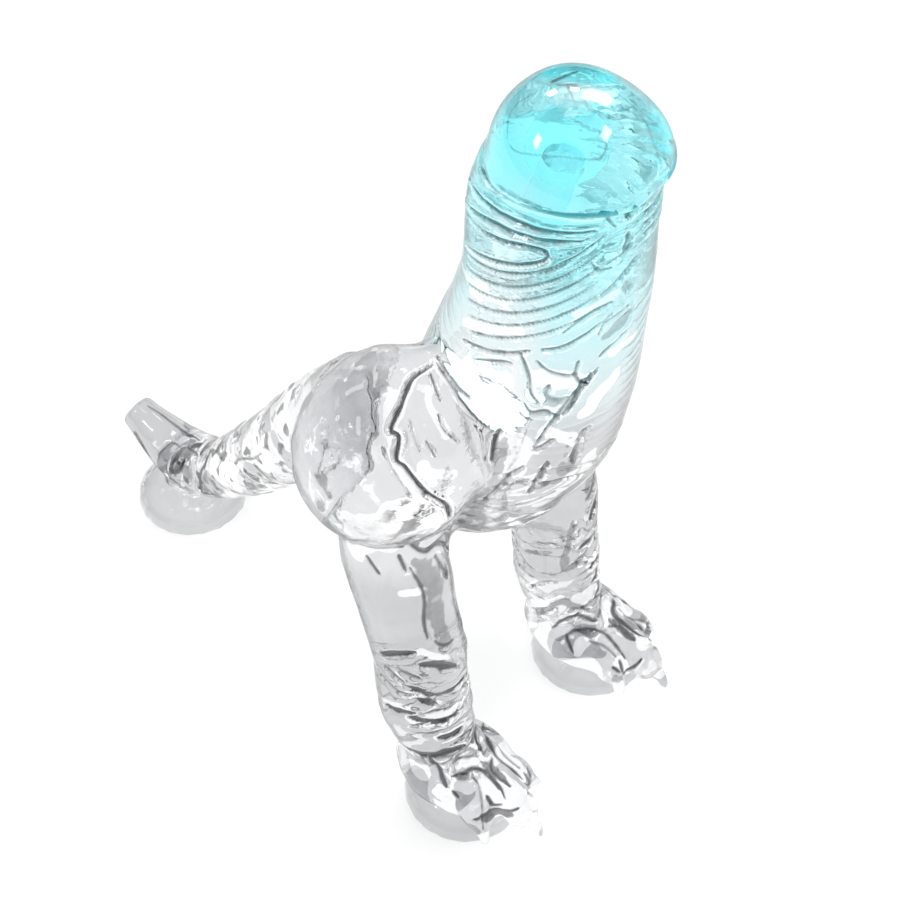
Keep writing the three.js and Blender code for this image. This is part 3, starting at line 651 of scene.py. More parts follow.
def frosted_acrylic(colours):
    # The diffuser gives off a faint painted cyan glow of the LED's light
    finish = Finish("frosted_acrylic", Transmission_Weight=1.0, IOR=1.01, Emission_Strength=0.03)
    frost = finish.noise(900.0, detail=5.0)
    finish.set(Base_Color=finish.mix(frost, (0.80, 0.96, 0.97), (0.9, 0.99, 1.0)))
    finish.set(Roughness=finish.smooth(frost, 0.3, 0.7, 0.10, 0.25))
    finish.set(Emission_Color=finish.mix(frost, tuple(colours.glow), (0.3, 0.95, 1.0)))
    return finish.material


def moulded(name, shade, low, high, grain=700.0):
    """Opaque moulded plastic or rubber, with a fine grain in its gloss."""
    finish = Finish(name)
    grain_noise = finish.noise(grain, detail=4.0)
    darker = tuple(c * 0.9 for c in shade)
    finish.set(Base_Color=finish.mix(finish.smooth(finish.noise(60.0), 0.3, 0.7), darker, shade))
    finish.set(Roughness=finish.smooth(grain_noise, 0.3, 0.7, low, high))
    finish.set(Normal=finish.bump(grain_noise, 0.0001, 0.25))
    return finish.material


def plated(name, shade, roughness):
    """Bright metal, drawn or plated, with faint rubs."""
    finish = Finish(name, Metallic=1.0)
    rub = finish.noise(350.0, detail=4.0, stretch=(1.0, 1.0, 0.15))
    finish.set(Base_Color=finish.mix(rub, tuple(c * 0.88 for c in shade), shade))
    finish.set(Roughness=finish.smooth(rub, 0.3, 0.7, roughness * 0.7, roughness * 1.4))
    return finish.material


def lit_epoxy():
    finish = Finish("led_epoxy", Emission_Strength=4.0)
    core = finish.noise(800.0)
    finish.set(Base_Color=finish.mix(core, (0.8, 0.97, 1.0), (0.95, 1.0, 1.0)), Roughness=core * 0.3)
    finish.set(Emission_Color=finish.mix(core, (0.5, 0.9, 0.95), (0.8, 1.0, 1.0)))
    return finish.material


# ---- Mesh work -----------------------------------------------------------------------------------


def mesh_object(name, points, faces):
    mesh = bpy.data.meshes.new(name)
    mesh.from_pydata([tuple(p) for p in points], [], faces)
    mesh.validate()
    mesh.shade_smooth()
    made = bpy.data.objects.new(name, mesh)
    bpy.context.scene.collection.objects.link(made)
    return made


def get_points(obj):
    points = np.empty(len(obj.data.vertices) * 3)
    obj.data.vertices.foreach_get("co", points)
    return points.reshape(-1, 3)


def set_points(obj, points):
    obj.data.vertices.foreach_set("co", points.reshape(-1).astype(np.float32))
    obj.data.update()


def normals(obj):
    directions = np.empty(len(obj.data.vertices) * 3)
    obj.data.vertex_normals.foreach_get("vector", directions)
    return directions.reshape(-1, 3)


def relax(obj, rounds, weight=None, pulls=(0.6, -0.62)):
    """Smooths a mesh. Each round pulls points in and then pushes them back out, so that nothing shrinks."""
    first, second = neighbours(obj)
    points = get_points(obj)
    count = len(points)
    degree = np.bincount(first, minlength=count) + np.bincount(second, minlength=count)
    weight = np.ones(count) if weight is None else weight
    for _ in range(rounds):
        for pull in pulls:
            total = np.zeros_like(points)
            for axis in range(3):
                total[:, axis] = np.bincount(first, points[second, axis], count)
                total[:, axis] += np.bincount(second, points[first, axis], count)
            points = points + (total / degree[:, None] - points) * (pull * weight)[:, None]
    set_points(obj, points)


def noise_at(points, per_metre, seed=0.0):
    """Smooth noise from -1 to 1 at each point."""
    scaled = points * per_metre + seed
    return np.array([noise.noise(Vector(p)) for p in scaled])


def push(obj, amount):
    """Moves each point out along its normal."""
    set_points(obj, get_points(obj) + normals(obj) * amount[:, None])


def dip(distance, width):
    """A soft groove's profile: 1 on its line, falling to 0 a few widths away."""
    return np.exp(-((distance / width) ** 2))


def step(value, low, high):
    share = np.clip((value - low) / (high - low), 0.0, 1.0)
    return share * share * (3.0 - 2.0 * share)


def finish_piece(obj, body, slot, material, *nodes):
    obj.data.materials.clear()
    obj.data.materials.append(material)
    obj.visible_shadow = False
    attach(obj, body)
    for node in nodes:
        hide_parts(node)


# ---- Column --------------------------------------------------------------------------------------


class ColumnShape:
    """The column's outside, read from the CAD column: the radius and the setback of each ring up its axis."""

    def __init__(self):
        local = COLUMN.local(cad_points("column"))
        outside = local[np.hypot(local[:, 0], local[:, 1]) > UNIT_RADIUS + 0.5 * MM]
        levels = np.unique(np.round(outside[:, 2], 5))
        rings = [outside[np.abs(outside[:, 2] - level) < 2e-5] for level in levels]
        rings = [ring for ring in rings if len(ring) > 8]
        self.level = np.array([ring[:, 2].mean() for ring in rings])
        self.setback = np.array([(ring[:, 1].max() + ring[:, 1].min()) / 2 for ring in rings])
        self.radius = np.array([(ring[:, 0].max() - ring[:, 0].min()) / 2 for ring in rings])
        self.top = float(local[:, 2].max())
        head = self.level > 0.8 * self.top
        self.groove = float(self.level[head][np.argmin(self.radius[head][:4])])

    def ring(self, level):
        """Radius and setback at each level, with the head's round top as a true ellipse."""
        shoulder = self.groove + 3.0 * MM
        widest = np.interp(shoulder, self.level, self.radius)
        radius = np.interp(level, self.level, self.radius)
        share = np.clip((level - shoulder) / (self.top - shoulder), 0.0, 1.0)
        radius = np.where(level > shoulder, widest * np.sqrt(1.0 - share**2), radius)
        setback = np.interp(level, self.level, self.setback)
        return radius, setback


COLUMN_SHAPE = ColumnShape()


def soften(values, reach):
    """Averages each value with its neighbours, keeping the two ends."""
    kernel = np.exp(-((np.arange(-reach, reach + 1) / (0.5 * reach)) ** 2))
    kernel /= kernel.sum()
    before = 2 * values[0] - values[reach:0:-1]
    after = 2 * values[-1] - values[-2 : -reach - 2 : -1]
    return np.convolve(np.concatenate([before, values, after]), kernel, mode="valid")


def fold_field(level, turn, shape, sizes):
    """How far each point of the column's skin stands out or in. turn is 0 at the back and +-pi in front."""
    below = shape.groove - level
    around = np.cos(turn)
    swirl = np.stack([np.sin(turn) * 0.018, np.cos(turn) * 0.018, level], axis=-1)
    warp = noise_at(swirl, 55.0, 3.1) * 1.6 * MM + noise_at(swirl, 160.0, 7.7) * 0.5 * MM
    out = np.zeros_like(level)
    # Folds of loose skin under the head, shallower behind
    folds = 5
    strength = 1.0 - 0.88 * step(around, -0.3, 0.5)
    for k in range(folds):
        line = sizes.fold_spacing * (k + 0.9) * (1.0 + 0.16 * around)
        out -= sizes.fold_depth * (1.0 - 0.12 * k) * strength * dip(below - line + 0.5 * warp, 0.42 * MM)
        out += 0.35 * sizes.fold_depth * strength * dip(below - line + 0.5 * warp + 1.1 * MM, 0.9 * MM)
    # Wrinkles round the shaft, fading towards its foot
    band = step(below, 13.0 * MM, 18.0 * MM) * (1.0 - step(below, 44.0 * MM, 62.0 * MM))
    spacing = 2.9 * MM
    phase = (below + 1.9 * warp + 1.5 * MM * np.cos(turn)) / spacing
    ridge = np.abs(np.mod(phase, 1.0) - 0.5) * 2.0
    patchy = 0.45 + 0.55 * step(noise_at(swirl, 75.0, 12.0), -0.35, 0.3)
    out -= sizes.wrinkle_depth * band * patchy * (1.0 - step(ridge, 0.0, 0.42))
    # Slack diagonal wrinkles lower down, in a V that opens upwards
    low = step(below, 40.0 * MM, 56.0 * MM) * (1.0 - step(below, 92.0 * MM, 104.0 * MM))
    side = np.abs(np.sin(0.5 * (turn - 2.2)))
    slant = (below + 14.0 * MM * side + 2.6 * warp) / (4.6 * MM)
    crease = np.abs(np.mod(slant, 1.0) - 0.5) * 2.0
    torn = step(noise_at(swirl, 95.0, 21.0), -0.2, 0.35)
    out -= 1.35 * sizes.wrinkle_depth * low * torn * (1.0 - step(crease, 0.0, 0.5))
    out += 0.5 * MM * low * noise_at(swirl, 85.0, 30.0)
    # Broad soft lumps all over the shaft
    shaft = step(below, 2.0 * MM, 8.0 * MM) * step(level, 0.0, 8.0 * MM)
    out += 0.45 * MM * shaft * noise_at(swirl, 38.0, 41.0)
    # The skin behind the head is smooth
    behind = step(around, -0.25, 0.45) * (1.0 - step(below, 34.0 * MM, 46.0 * MM))
    return out * (1.0 - 0.85 * behind)


def column_mesh(name, sizes, inset=0.0):
    """The column as one closed skin: outside with its head, flat underside, and the light unit's bore."""
    shape = COLUMN_SHAPE
    around, rows = 220, 320
    levels = np.linspace(0.0, 1.0, rows)
    levels = shape.top * np.sin(levels * math.pi / 2) ** 0.94
    radius, setback = shape.ring(levels)
    neck = levels < shape.groove
    radius[neck] = soften(radius[neck], 9)
    setback = soften(setback, 9)
    # The neck leans back under the head
    setback = setback + 2.1 * MM * step(levels, shape.groove - 26 * MM, shape.groove - 6 * MM) * (
        1.0 - step(levels, shape.groove - 2.0 * MM, shape.groove + 2.0 * MM)
    )
    turn = np.linspace(-math.pi, math.pi, around, endpoint=False)
    level, turns = (grid.reshape(-1) for grid in np.meshgrid(levels, turn, indexing="ij"))
    rim = np.repeat(radius, around)
    back = np.repeat(setback, around)
    front = 0.5 - 0.5 * np.cos(turns)
    # The head's lip stands proud of the groove, and has a notch in front
    lip = dip(level - shape.groove - 2.2 * MM, 1.6 * MM)
    notch = np.exp(-(((np.abs(turns) - math.pi) / 0.28) ** 2))
    rim = rim + 0.55 * MM * lip * (1.0 - 0.9 * notch)
    rim = rim - 0.8 * MM * notch * dip(level - shape.groove - 4.5 * MM, 3.5 * MM)
    # Faint lumps on the head, fading out at its groove and its top
    lumps = noise_at(np.stack([np.sin(turns), np.cos(turns), level * 30], -1), 1.1, 5.0)
    on_dome = step(level, shape.groove, shape.groove + 6 * MM) * (1.0 - step(level, shape.top - 8 * MM, shape.top))
    rim = rim + 0.35 * MM * lumps * on_dome
    rim = rim + OVERLAP * (1.0 - step(level, 0.5 * shape.top, 0.65 * shape.top)) - inset
    # Rim, groove and folds all rise towards the front
    lift = sizes.rim_lift * step(front, 0.1, 0.95)
    height = level + lift * np.where(
        level < shape.groove,
        step(level, shape.groove - 30 * MM, shape.groove),
        1.0 - step(level, shape.groove - 2 * MM, shape.top - 1 * MM),
    )
    local = np.stack([rim * np.sin(turns), rim * np.cos(turns) + back, height], axis=-1)
    # The bore, from its blind end down to the underside
    bore = UNIT_RADIUS + sizes.bore_clearance + 3.0 * inset
    depth = UNIT_TOP + sizes.bore_clearance + 3.0 * inset
    rounding = 1.2 * MM
    inside = [(0.4 * bore, depth), (bore - rounding, depth), (bore - 0.3 * rounding, depth - 0.3 * rounding)]
    inside += [(bore, depth - rounding)] + [(bore, depth * k / 12) for k in range(11, 0, -1)]
    inside += [(bore, 0.4 * MM), (bore + 0.3 * MM, 0.0)]
    bore_turn = np.tile(turn, len(inside))
    bore_radius = np.repeat([r for r, _ in inside], around)
    bore_level = np.repeat([z for _, z in inside], around)
    hole = np.stack([bore_radius * np.sin(bore_turn), bore_radius * np.cos(bore_turn), bore_level], axis=-1)
    points = COLUMN.world(np.concatenate([hole, local]))
    faces = []
    total = len(inside) + rows
    for row in range(total - 1):
        for k in range(around):
            here, after = row * around + k, row * around + (k + 1) % around
            faces.append((here, here + around, after + around, after))
    faces.append(tuple(range(around)))
    faces.append(tuple(range((total - 1) * around, total * around))[::-1])
    return mesh_object(name, points, faces)


# ---- The casting ---------------------------------------------------------------------------------


def united(name, parts, voxel):
    """One even closed mesh round all the parts, with what lies inside them left out."""
    points, faces, start = [], [], 0
    for part in parts:
        own = get_points(part)
        points.append(own)
        faces += [tuple(start + v for v in face.vertices) for face in part.data.polygons]
        start += len(own)
    made = mesh_object(name, np.concatenate(points), faces)
    for part in parts:
        bpy.data.objects.remove(part)
    return outermost(regrained(made, voxel))


def outermost(obj):
    """Drops the skins of any sealed hollows, which are loose from the largest skin."""
    first, second = neighbours(obj)
    points = get_points(obj)
    label = np.arange(len(points))
    while True:
        lower = np.minimum(label[first], label[second])
        after = label.copy()
        np.minimum.at(after, first, lower)
        np.minimum.at(after, second, lower)
        after = after[after]
        if (after == label).all():
            break
        label = after
    kept = label == np.bincount(label).argmax()
    if kept.all():
        return obj
    renumbered = np.cumsum(kept) - 1
    left = (face.vertices for face in obj.data.polygons if kept[face.vertices[0]])
    faces = [tuple(renumbered[v] for v in corners) for corners in left]
    made = mesh_object(obj.name, points[kept], faces)
    bpy.data.objects.remove(obj)
    return made


def regrained(obj, voxel):
    remesh = obj.modifiers.new("remesh", "REMESH")
    remesh.mode = "VOXEL"
    remesh.voxel_size = voxel
    evaluated = obj.evaluated_get(bpy.context.evaluated_depsgraph_get())
    applied = bpy.data.meshes.new_from_object(evaluated)
    obj.modifiers.clear()
    obj.data = applied
    obj.data.shade_smooth()
    return obj


def plain_copy(node):
    """The node's own mesh as a loose object, with its facets."""
    mesh = frame["nodes"][node].data
    return mesh_object(f"{node}_shape", cad_points(node), [tuple(face.vertices) for face in mesh.polygons])


def keep_claws(points):
    """Less smoothing towards the claws, so that they stay sharp."""
    front = min(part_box(node)[0][1] for node in ("right_leg", "left_leg"))
    behind = step(points[:, 1], front + 5 * MM, front + 12 * MM)
    above = step(points[:, 2], 9 * MM, 13 * MM)
    return 0.15 + 0.85 * np.maximum(behind, above)


class Skin:
    """A casting's surface while its detail is worked out: how far each point moves, its painted shade and painted
    highlights, and where the haunches get their painted lighter tint.
    """

    def __init__(self, obj):
        self.obj = obj
        self.points = get_points(obj)
        self.tree = BVHTree.FromObject(obj, bpy.context.evaluated_depsgraph_get())
        count = len(self.points)
        self.out = np.zeros(count)
        self.ink = np.zeros(count)
        self.pale = np.zeros(count)
        self.bulk = np.zeros(count)

    def on_skin(self, path):
        """The path's points, close together and on the surface."""
        dense = [path[:1]]
        for here, after in zip(path, path[1:]):
            count = max(2, int(np.linalg.norm(after - here) / MM))
            dense.append(here + (after - here) * np.linspace(0.0, 1.0, count + 1)[1:, None])
        return np.array([self.tree.find_nearest(Vector(p))[0] for p in np.concatenate(dense)])

    def near(self, path, reach):
        """Which points lie within reach of the path, how far from it each one is, and how far along it."""
        low, high = path.min(axis=0) - reach, path.max(axis=0) + reach
        chosen = np.flatnonzero(((self.points > low) & (self.points < high)).all(axis=1))
        own = self.points[chosen]
        distance = np.full(len(own), reach)
        along_path = np.zeros(len(own))
        for place, (here, after) in enumerate(zip(path, path[1:])):
            along = after - here
            share = np.clip((own - here) @ along / max(along @ along, 1e-12), 0.0, 1.0)
            away = np.linalg.norm(own - here - share[:, None] * along, axis=1)
            nearer = away < distance
            distance[nearer] = away[nearer]
            along_path[nearer] = (place + share[nearer]) / (len(path) - 1)
        return chosen, distance, along_path

    def draw(self, groups, place):
        """Carves each stroke and paints shade along it. Broad ones have ragged edges."""
        for half_width, depth, darkness, strokes in groups:
            half_width, depth = half_width * MM, depth * MM
            for path in placed(strokes, place):
                chosen, distance, along_path = self.near(self.on_skin(path), 4.0 * half_width)
                distance = np.abs(distance + 0.3 * half_width * noise_at(self.points[chosen], 380.0, 17.0))
                distance /= 0.35 + 0.65 * np.sqrt(np.sin(math.pi * np.clip(along_path, 0.0, 1.0)).clip(0.0))
                if half_width < BROAD:
                    mark = dip(distance, 0.9 * half_width)
                else:
                    ragged = distance + 0.35 * half_width * noise_at(self.points[chosen], 420.0)
                    mark = 1.0 - step(ragged, 0.8 * half_width, 1.05 * half_width)
                self.ink[chosen] = np.maximum(self.ink[chosen], darkness * mark)
                lips = 0.2 * dip(distance - 2.2 * half_width, half_width)
                self.out[chosen] -= depth * (dip(distance, half_width) - lips)

    def paint_highlights(self, groups, place):
        # Paints highlights along each stroke, with ragged edges
        for half_width, strength, strokes in groups:
            half_width *= MM
            for path in placed(strokes, place):
                chosen, distance, _ = self.near(self.on_skin(path), 2.0 * half_width)
                ragged = distance + 0.6 * half_width * noise_at(self.points[chosen], 330.0, 4.0)
                mark = 1.0 - step(ragged, 0.75 * half_width, 1.0 * half_width)
                self.pale[chosen] = np.maximum(self.pale[chosen], strength * mark)

    def finish(self):
        """Moves the points, paints shade into the folds and highlights onto the ridges, and keeps them with the
        mesh.
        """
        smooth = averaged(self.obj, self.out, 14)
        relief = self.out - smooth
        push(self.obj, self.out)
        # Painted shade in the hollows of the relief, painted highlights on its raised parts
        self.ink = np.clip(np.maximum(self.ink, 0.75 * step(-relief, 0.07 * MM, 0.30 * MM)), 0.0, 1.0)
        self.pale = np.clip(np.maximum(self.pale, 0.9 * step(relief, 0.06 * MM, 0.2 * MM)), 0.0, 1.0)
        for name, values in (("ink", self.ink), ("pale", self.pale), ("bulk", self.bulk)):
            kept = self.obj.data.attributes.new(name, "FLOAT", "POINT")
            kept.data.foreach_set("value", values.astype(np.float32))


def curve(points):
    """A smooth curve through the points."""
    points = np.array(points, float)
    ends = 2.0 * points[[0, -1]] - points[[1, -2]]
    padded = np.concatenate([ends[:1], points, ends[1:]])
    share = np.linspace(0.0, 1.0, CURVE_STEPS, endpoint=False)[:, None]
    spans = []
    for before, here, after, beyond in zip(padded, padded[1:], padded[2:], padded[3:]):
        bend = 2.0 * before - 5.0 * here + 4.0 * after - beyond
        twist = 3.0 * here - before - 3.0 * after + beyond
        spans.append(here + 0.5 * ((after - before) * share + bend * share**2 + twist * share**3))
    return np.concatenate([*spans, points[-1:]])


def placed(strokes, place):
    """Each stroke as a curve in the figure's frame, wherever its place puts it."""
    for stroke in strokes:
        yield from place(curve(stroke))


def round_column(path):
    """Puts (turn, level) points on the column."""
    turn, level = np.radians(path[:, 0]), path[:, 1] * MM
    radius, setback = COLUMN_SHAPE.ring(level)
    local = np.stack([radius * np.sin(turn), radius * np.cos(turn) + setback, level], axis=-1)
    return (COLUMN.world(local),)


def on_head(path):
    top = COLUMN.foot + COLUMN.up * COLUMN_SHAPE.top
    return (top + path * MM,)


def from_cup(cup, mirrored=False):
    """Puts points where they lie from a cup's middle, and again on the other side if they are mirrored."""
    middle = np.array(joint(f"{cup}_swivel")["pos_m"], float) * (1.0, 1.0, 0.0)
    sides = (1.0, -1.0) if mirrored else (1.0,)
    return lambda path: tuple((middle + path * MM) * (side, 1.0, 1.0) for side in sides)


def neighbours(obj):
    edges = np.empty(len(obj.data.edges) * 2, np.int64)
    obj.data.edges.foreach_get("vertices", edges)
    return edges.reshape(-1, 2).T


def averaged(obj, values, rounds):
    first, second = neighbours(obj)
    count = len(values)
    degree = np.bincount(first, minlength=count) + np.bincount(second, minlength=count)
    for _ in range(rounds):
        total = np.bincount(first, values[second], count) + np.bincount(second, values[first], count)
        values = 0.5 * values + 0.5 * total / degree
    return values


def column_detail(skin, sizes):
    """Folds right round the column, quieter on the side where they are drawn one by one."""
    shape = COLUMN_SHAPE
    local = COLUMN.local(skin.points)
    radius, setback = shape.ring(local[:, 2])
    off_axis = np.hypot(local[:, 0], local[:, 1] - setback)
    on_column = 1.0 - step(np.abs(off_axis - radius), 1.2 * MM, 2.2 * MM)
    on_column *= step(local[:, 2], 2 * MM, 6 * MM)
    turn = np.arctan2(local[:, 0], local[:, 1] - setback)
    lift = sizes.rim_lift * step(0.5 - 0.5 * np.cos(turn), 0.1, 0.95)
    level = local[:, 2] - lift * step(local[:, 2], shape.groove - 26 * MM, shape.groove)
    chosen = np.flatnonzero(on_column > 0.01)
    drawn = np.exp(-(((turn[chosen] + 2.25) / 0.95) ** 4))
    field = fold_field(level[chosen], turn[chosen], shape, sizes)
    quiet = 1.0 - 0.82 * drawn * step(level[chosen], shape.groove - 55 * MM, shape.groove - 40 * MM)
    below_head = 1.0 - step(level[chosen], shape.groove - 1 * MM, shape.groove)
    skin.out[chosen] += field * on_column[chosen] * below_head * quiet
    # Fine slanting streaks of painted shade and painted highlight where the column swells out above the legs
    swell = step(level[chosen], 4 * MM, 10 * MM) * (1.0 - step(level[chosen], 40 * MM, 52 * MM))
    swell *= on_column[chosen] * step(np.cos(turn[chosen] + 2.3), 0.1, 0.5)
    slant = level[chosen] + 0.8 * radius[chosen] * turn[chosen]
    across = level[chosen] - 0.8 * radius[chosen] * turn[chosen]
    weave = np.stack([slant, 0.22 * across, 0.0 * slant], axis=-1)
    thin = noise_at(weave, 620.0, 51.0)
    skin.ink[chosen] = np.maximum(skin.ink[chosen], 0.55 * swell * step(thin, 0.22, 0.42))
    skin.pale[chosen] = np.maximum(skin.pale[chosen], 0.9 * swell * step(-thin, 0.12, 0.26))


def haunch_detail(skin, sizes):
    points = skin.points
    above = step(points[:, 2], sizes.hip_height, sizes.hip_height + 12 * MM)
    off_column = step(np.abs(points[:, 0]), 14 * MM, 20 * MM)
    chosen = np.flatnonzero(above * off_column > 0.01)
    weight = (above * off_column)[chosen]
    own = points[chosen]
    skin.out[chosen] += weight * 0.3 * MM * noise_at(own, 35.0, 2.0)
    # Marks the haunches for their painted lighter tint
    skin.bulk[chosen] = weight
    # Painted highlight specks on the haunches
    speck = step(noise_at(own, 420.0, 31.0), 0.42, 0.55) * step(noise_at(own, 60.0, 33.0), 0.0, 0.25)
    skin.pale[chosen] = np.maximum(skin.pale[chosen], 0.8 * weight * speck)


def leg_detail(skin, sizes):
    points = skin.points
    height = points[:, 2]
    legs = (1.0 - step(height, sizes.hip_height - 8 * MM, sizes.hip_height + 4 * MM)) * step(
        np.abs(points[:, 0]), 8 * MM, 12 * MM
    )
    chosen = np.flatnonzero(legs > 0.01)
    own, weight, height = points[chosen], legs[chosen], height[chosen]
    warp = noise_at(own, 80.0, 6.0) * 2.2 * MM
    rings = step(height, 15 * MM, 20 * MM) * (1.0 - step(height, 40 * MM, 50 * MM))
    ridge = np.abs(np.mod((height + 2.0 * warp) / (4.4 * MM), 1.0) - 0.5) * 2.0
    patchy = step(noise_at(own, 90.0, 15.0), -0.35, 0.25)
    out = -0.7 * MM * rings * patchy * (1.0 - step(ridge, 0.0, 0.55))
    out += 0.55 * MM * noise_at(own, 70.0, 18.0) * step(height, 12 * MM, 20 * MM)
    foot = 1.0 - step(height, 14 * MM, 20 * MM)
    out += 0.4 * MM * foot * noise_at(own, 150.0, 27.0)
    skin.out[chosen] += weight * out
    # Painted highlights on the feet
    bright = foot * step(noise_at(own, 120.0, 35.0), -0.15, 0.0)
    skin.pale[chosen] = np.maximum(skin.pale[chosen], 0.9 * weight * bright)


def tail_detail(skin, sizes):
    points = skin.points
    low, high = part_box("tail")
    root = low[1] + 8 * MM
    tail = step(points[:, 1], root - 3 * MM, root + 3 * MM)
    chosen = np.flatnonzero(tail > 0.01)
    own, weight = points[chosen], tail[chosen]
    out = 0.34 * MM * noise_at(own, 240.0, 3.0) + 0.45 * MM * noise_at(own, 100.0, 8.0)
    tip = step(own[:, 1], high[1] - 22 * MM, high[1] - 17 * MM)
    skin.out[chosen] += weight * out * (1.0 - 0.85 * tip)
    # Painted highlight mottling and flecks of painted shade along the tail, short of its tip
    mottle = step(noise_at(own, 130.0, 36.0), -0.2, -0.02) * (1.0 - tip)
    fleck = step(noise_at(own, 330.0, 37.0), 0.28, 0.42) * (1.0 - tip)
    skin.pale[chosen] = np.maximum(skin.pale[chosen], 0.95 * weight * mottle * (1.0 - fleck))
    skin.ink[chosen] = np.maximum(skin.ink[chosen], 0.6 * weight * fleck)


def fill_crevice(obj):
    """Rounds off the crevice between the haunches and the column."""
    points = get_points(obj)
    local = COLUMN.local(points)
    radius, setback = COLUMN_SHAPE.ring(local[:, 2])
    outside = np.hypot(local[:, 0], local[:, 1] - setback) - radius
    low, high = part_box("haunches")
    zone = (1.0 - step(outside, 5 * MM, 11 * MM)) * step(outside, -3 * MM, -1 * MM)
    height = points[:, 2]
    zone *= step(height, low[2] + 6 * MM, low[2] + 14 * MM) * (1.0 - step(height, high[2], high[2] + 8 * MM))
    relax(obj, 90, zone, pulls=(0.6,))


def body_casting(sizes):
    parts = [plain_copy(node) for node in ("haunches", "right_leg", "left_leg", "tail")]
    limbs = united("limbs", [*parts, column_mesh("column_core", sizes, inset=OVERLAP)], sizes.rough_voxel)
    relax(limbs, 30, keep_claws(get_points(limbs)))
    fill_crevice(limbs)
    obj = united("clear_casting", [limbs, column_mesh("column_skin", sizes)], sizes.voxel)
    relax(obj, 4, keep_claws(get_points(obj)))
    skin = Skin(obj)
    column_detail(skin, sizes)
    haunch_detail(skin, sizes)
    leg_detail(skin, sizes)
    tail_detail(skin, sizes)
    right, left = (from_cup(cup, mirrored=True) for cup in ("right_foot_cup", "left_foot_cup"))
    skin.draw((*even_folds(), *COLUMN_STROKES), round_column)
    skin.draw(HEAD_STROKES, on_head)
    skin.draw(RIGHT_STROKES, right)
    skin.draw(LEFT_STROKES, left)
    skin.draw(TAIL_STROKES, from_cup("tail_cup"))
    skin.paint_highlights(COLUMN_HIGHLIGHTS, round_column)
    skin.paint_highlights(HEAD_HIGHLIGHTS, on_head)
    skin.paint_highlights(RIGHT_HIGHLIGHTS, right)
    skin.paint_highlights(LEFT_HIGHLIGHTS, left)
    skin.finish()
    return obj


# ---- Operators -----------------------------------------------------------------------------------


class FIGURE_OT_casting(bpy.types.Operator):
    """Build the clear casting: the column with its lit head, the haunches, the legs and the tail"""

    bl_idname = "figure.casting"
    bl_label = "Casting"

    def execute(self, context):
        obj = body_casting(context.scene.figure_sizes)
        material = clear_elastomer(context.scene.figure_colours)
        nodes = ("column", "haunches", "right_leg", "left_leg", "tail")
        finish_piece(obj, "figure", "clear_elastomer", material, *nodes)
        return {"FINISHED"}


class FIGURE_OT_cups(bpy.types.Operator):
    """Build the three suction cups"""

    bl_idname = "figure.cups"
    bl_label = "Suction cups"

    def execute(self, context):
        sizes = context.scene.figure_sizes
        material = clear_vinyl(context.scene.figure_colours)
        for node in ("right_foot_cup", "left_foot_cup", "tail_cup"):
            obj = regrained(plain_copy(node), sizes.cup_voxel)
            obj.name = obj.data.name = f"vinyl_{node}"
            relax(obj, 12)
            finish_piece(obj, node, "clear_vinyl", material, node)
        return {"FINISHED"}


class FIGURE_OT_light(bpy.types.Operator):
    """Give the rod, the diffuser and every part of the light unit its finish"""

    bl_idname = "figure.light"
    bl_label = "Light unit"

    def execute(self, context):
        colours = context.scene.figure_colours
        white = moulded("white_plastic", (0.9, 0.91, 0.9), 0.3, 0.45)
        rubber = moulded("grey_rubber", (0.55, 0.57, 0.58), 0.55, 0.8)
        black = moulded("black_plastic", (0.03, 0.03, 0.035), 0.35, 0.55)
        board = moulded("circuit_board", (0.78, 0.80, 0.79), 0.25, 0.4)
        nickel = plated("nickel_plate", (0.78, 0.77, 0.74), 0.22)
        steel = plated("cell_steel", (0.72, 0.73, 0.74), 0.3)
        finishes = {
            "light_rod": embedded_acrylic(),
            "light_diffuser": frosted_acrylic(colours),
            "light_window": window_acrylic(),
            "led": lit_epoxy(),
            "barrel": white,
            "end_cap": white,
            "seal_ring": rubber,
            "switch_button": rubber,
            "switch_body": black,
            "led_resistor": black,
            "led_board": board,
            "top_contact": nickel,
            "battery_spring": nickel,
            "cell_1": steel,
            "cell_2": steel,
            "cell_3": steel,
        }
        for node, material in finishes.items():
            slots = frame["nodes"][node].material_slots
            for k in range(len(slots)):
                slots[k].material = material
        return {"FINISHED"}


class FIGURE_OT_stage(bpy.types.Operator):
    """Set the camera, the floor, the lights and the sky"""

    bl_idname = "figure.stage"
    bl_label = "Stage"

    def execute(self, context):
        stage = context.scene.figure_stage
        place_camera(context.scene, stage)
        lay_floor(stage)
        hang_lights()
        paint_sky(context.scene)
        context.scene.view_settings.view_transform = "Standard"
        return {"FINISHED"}


def place_camera(scene, stage):
    data = bpy.data.cameras.new("camera")
    data.lens = stage.lens
    data.sensor_width = 36.0
    camera = bpy.data.objects.new("camera", data)
    scene.collection.objects.link(camera)
    away = outward(stage.azimuth, stage.elevation)
    camera.location = Vector(stage.aim) + away * stage.distance
    camera.rotation_euler = away.to_track_quat("Z", "Y").to_euler()
    scene.camera = camera


def lay_floor(stage):
    half, drop = 3.0, 0.2 * MM
    corners = [(-half, -half), (half, -half), (half, half), (-half, half)]
    floor = mesh_object("floor", [(x, y, -drop) for x, y in corners], [(0, 1, 2, 3)])
    finish = Finish("floor", Roughness=0.9)
    finish.set(Base_Color=(*tuple(stage.floor), 1.0))
    floor.data.materials.append(finish.material)


# Name, width and height in metres, watts, azimuth and elevation in degrees, and distance in metres
LAMPS = (
    ("key", (0.10, 0.16), 0.7, -118, 48, 0.8),
    ("fill", (0.16, 0.10), 0.6, 20, 50, 0.8),
    ("back_left", (0.14, 0.12), 0.7, 152, 56, 0.8),
    ("back_right", (0.12, 0.10), 0.5, 116, 58, 0.8),
    ("top", (0.18, 0.18), 0.3, 0, 88, 0.9),
)
LAMP_AIM = (0.0, 0.0, 0.1)


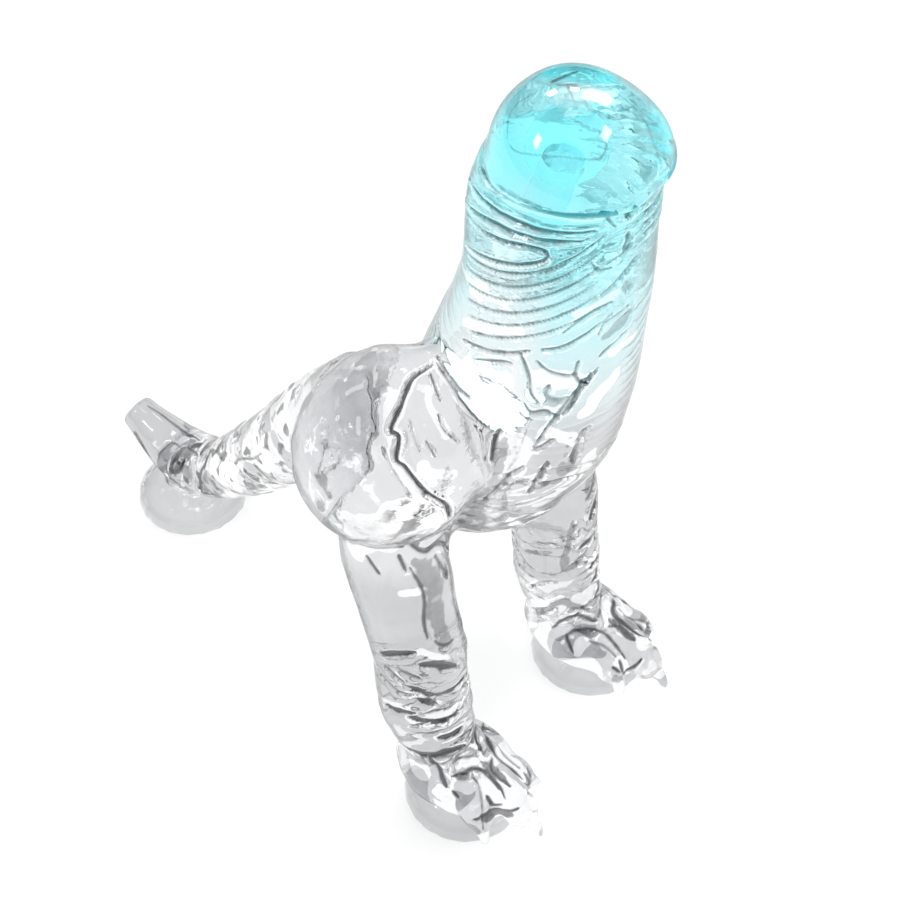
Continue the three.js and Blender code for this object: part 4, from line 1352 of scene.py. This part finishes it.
def outward(azimuth, elevation):
    """The direction away from the figure, in radians round it from the front and up."""
    flat = math.cos(elevation)
    return Vector((math.sin(azimuth) * flat, -math.cos(azimuth) * flat, math.sin(elevation)))


def hang_light(name, size, power, azimuth, elevation, distance):
    data = bpy.data.lights.new(name, "AREA")
    data.shape = "RECTANGLE"
    data.size, data.size_y = size
    data.energy = power
    light = bpy.data.objects.new(name, data)
    bpy.context.scene.collection.objects.link(light)
    away = outward(math.radians(azimuth), math.radians(elevation))
    light.location = Vector(LAMP_AIM) + away * distance
    light.rotation_euler = away.to_track_quat("Z", "Y").to_euler()


def hang_lights():
    for lamp in LAMPS:
        hang_light(*lamp)


def paint_sky(scene):
    """White overhead, with a grey band low down that the clear castings bend into their dark outlines."""
    world = bpy.data.worlds.new("sky")
    world.use_nodes = True
    sky = Nodes(world.node_tree)
    direction = sky.node("ShaderNodeTexCoord", output="Generated")
    rise = sky.node("ShaderNodeSeparateXYZ", sockets={"Vector": direction}, output="Z")
    greys = [(0.0, 0.5), (0.49, 0.3), (0.5, 0.06), (0.58, 0.08), (0.70, 0.6), (0.82, 1.05)]
    stops = [(place, (grey, grey, grey, 1.0)) for place, grey in greys]
    shade = sky.node("ShaderNodeValToRGB", {"stops": stops}, {"Fac": rise * 0.5 + 0.5}, "Color")
    sky.feed(world.node_tree.nodes["Background"].inputs["Color"], shade)
    scene.world = world


# ---- Panel and registration ----------------------------------------------------------------------


BUILDERS = (
    FIGURE_OT_stage,
    FIGURE_OT_casting,
    FIGURE_OT_cups,
    FIGURE_OT_light,
)


class FIGURE_PT_panel(bpy.types.Panel):
    """Lists the builders and their settings in the sidebar"""

    bl_idname = "FIGURE_PT_panel"
    bl_label = "Figure"
    bl_space_type = "VIEW_3D"
    bl_region_type = "UI"
    bl_category = "Figure"

    def draw(self, context):
        layout = self.layout
        for builder in BUILDERS:
            layout.operator(builder.bl_idname)
        for group in (context.scene.figure_sizes, context.scene.figure_colours, context.scene.figure_stage):
            box = layout.box()
            for key in group.bl_rna.properties.keys():
                if key not in ("rna_type", "name"):
                    box.prop(group, key)


SETTINGS = {"figure_sizes": FigureSizes, "figure_colours": FigureColours, "figure_stage": StageSettings}
CLASSES = (*SETTINGS.values(), *BUILDERS, FIGURE_PT_panel)


def register():
    for each in CLASSES:
        bpy.utils.register_class(each)
    for name, group in SETTINGS.items():
        setattr(bpy.types.Scene, name, bpy.props.PointerProperty(type=group))


def unregister():
    for name in SETTINGS:
        delattr(bpy.types.Scene, name)
    for each in reversed(CLASSES):
        bpy.utils.unregister_class(each)


def main():
    register()
    for builder in BUILDERS:
        group, name = builder.bl_idname.split(".")
        getattr(getattr(bpy.ops, group), name)()


if __name__ == "__main__":
    main()
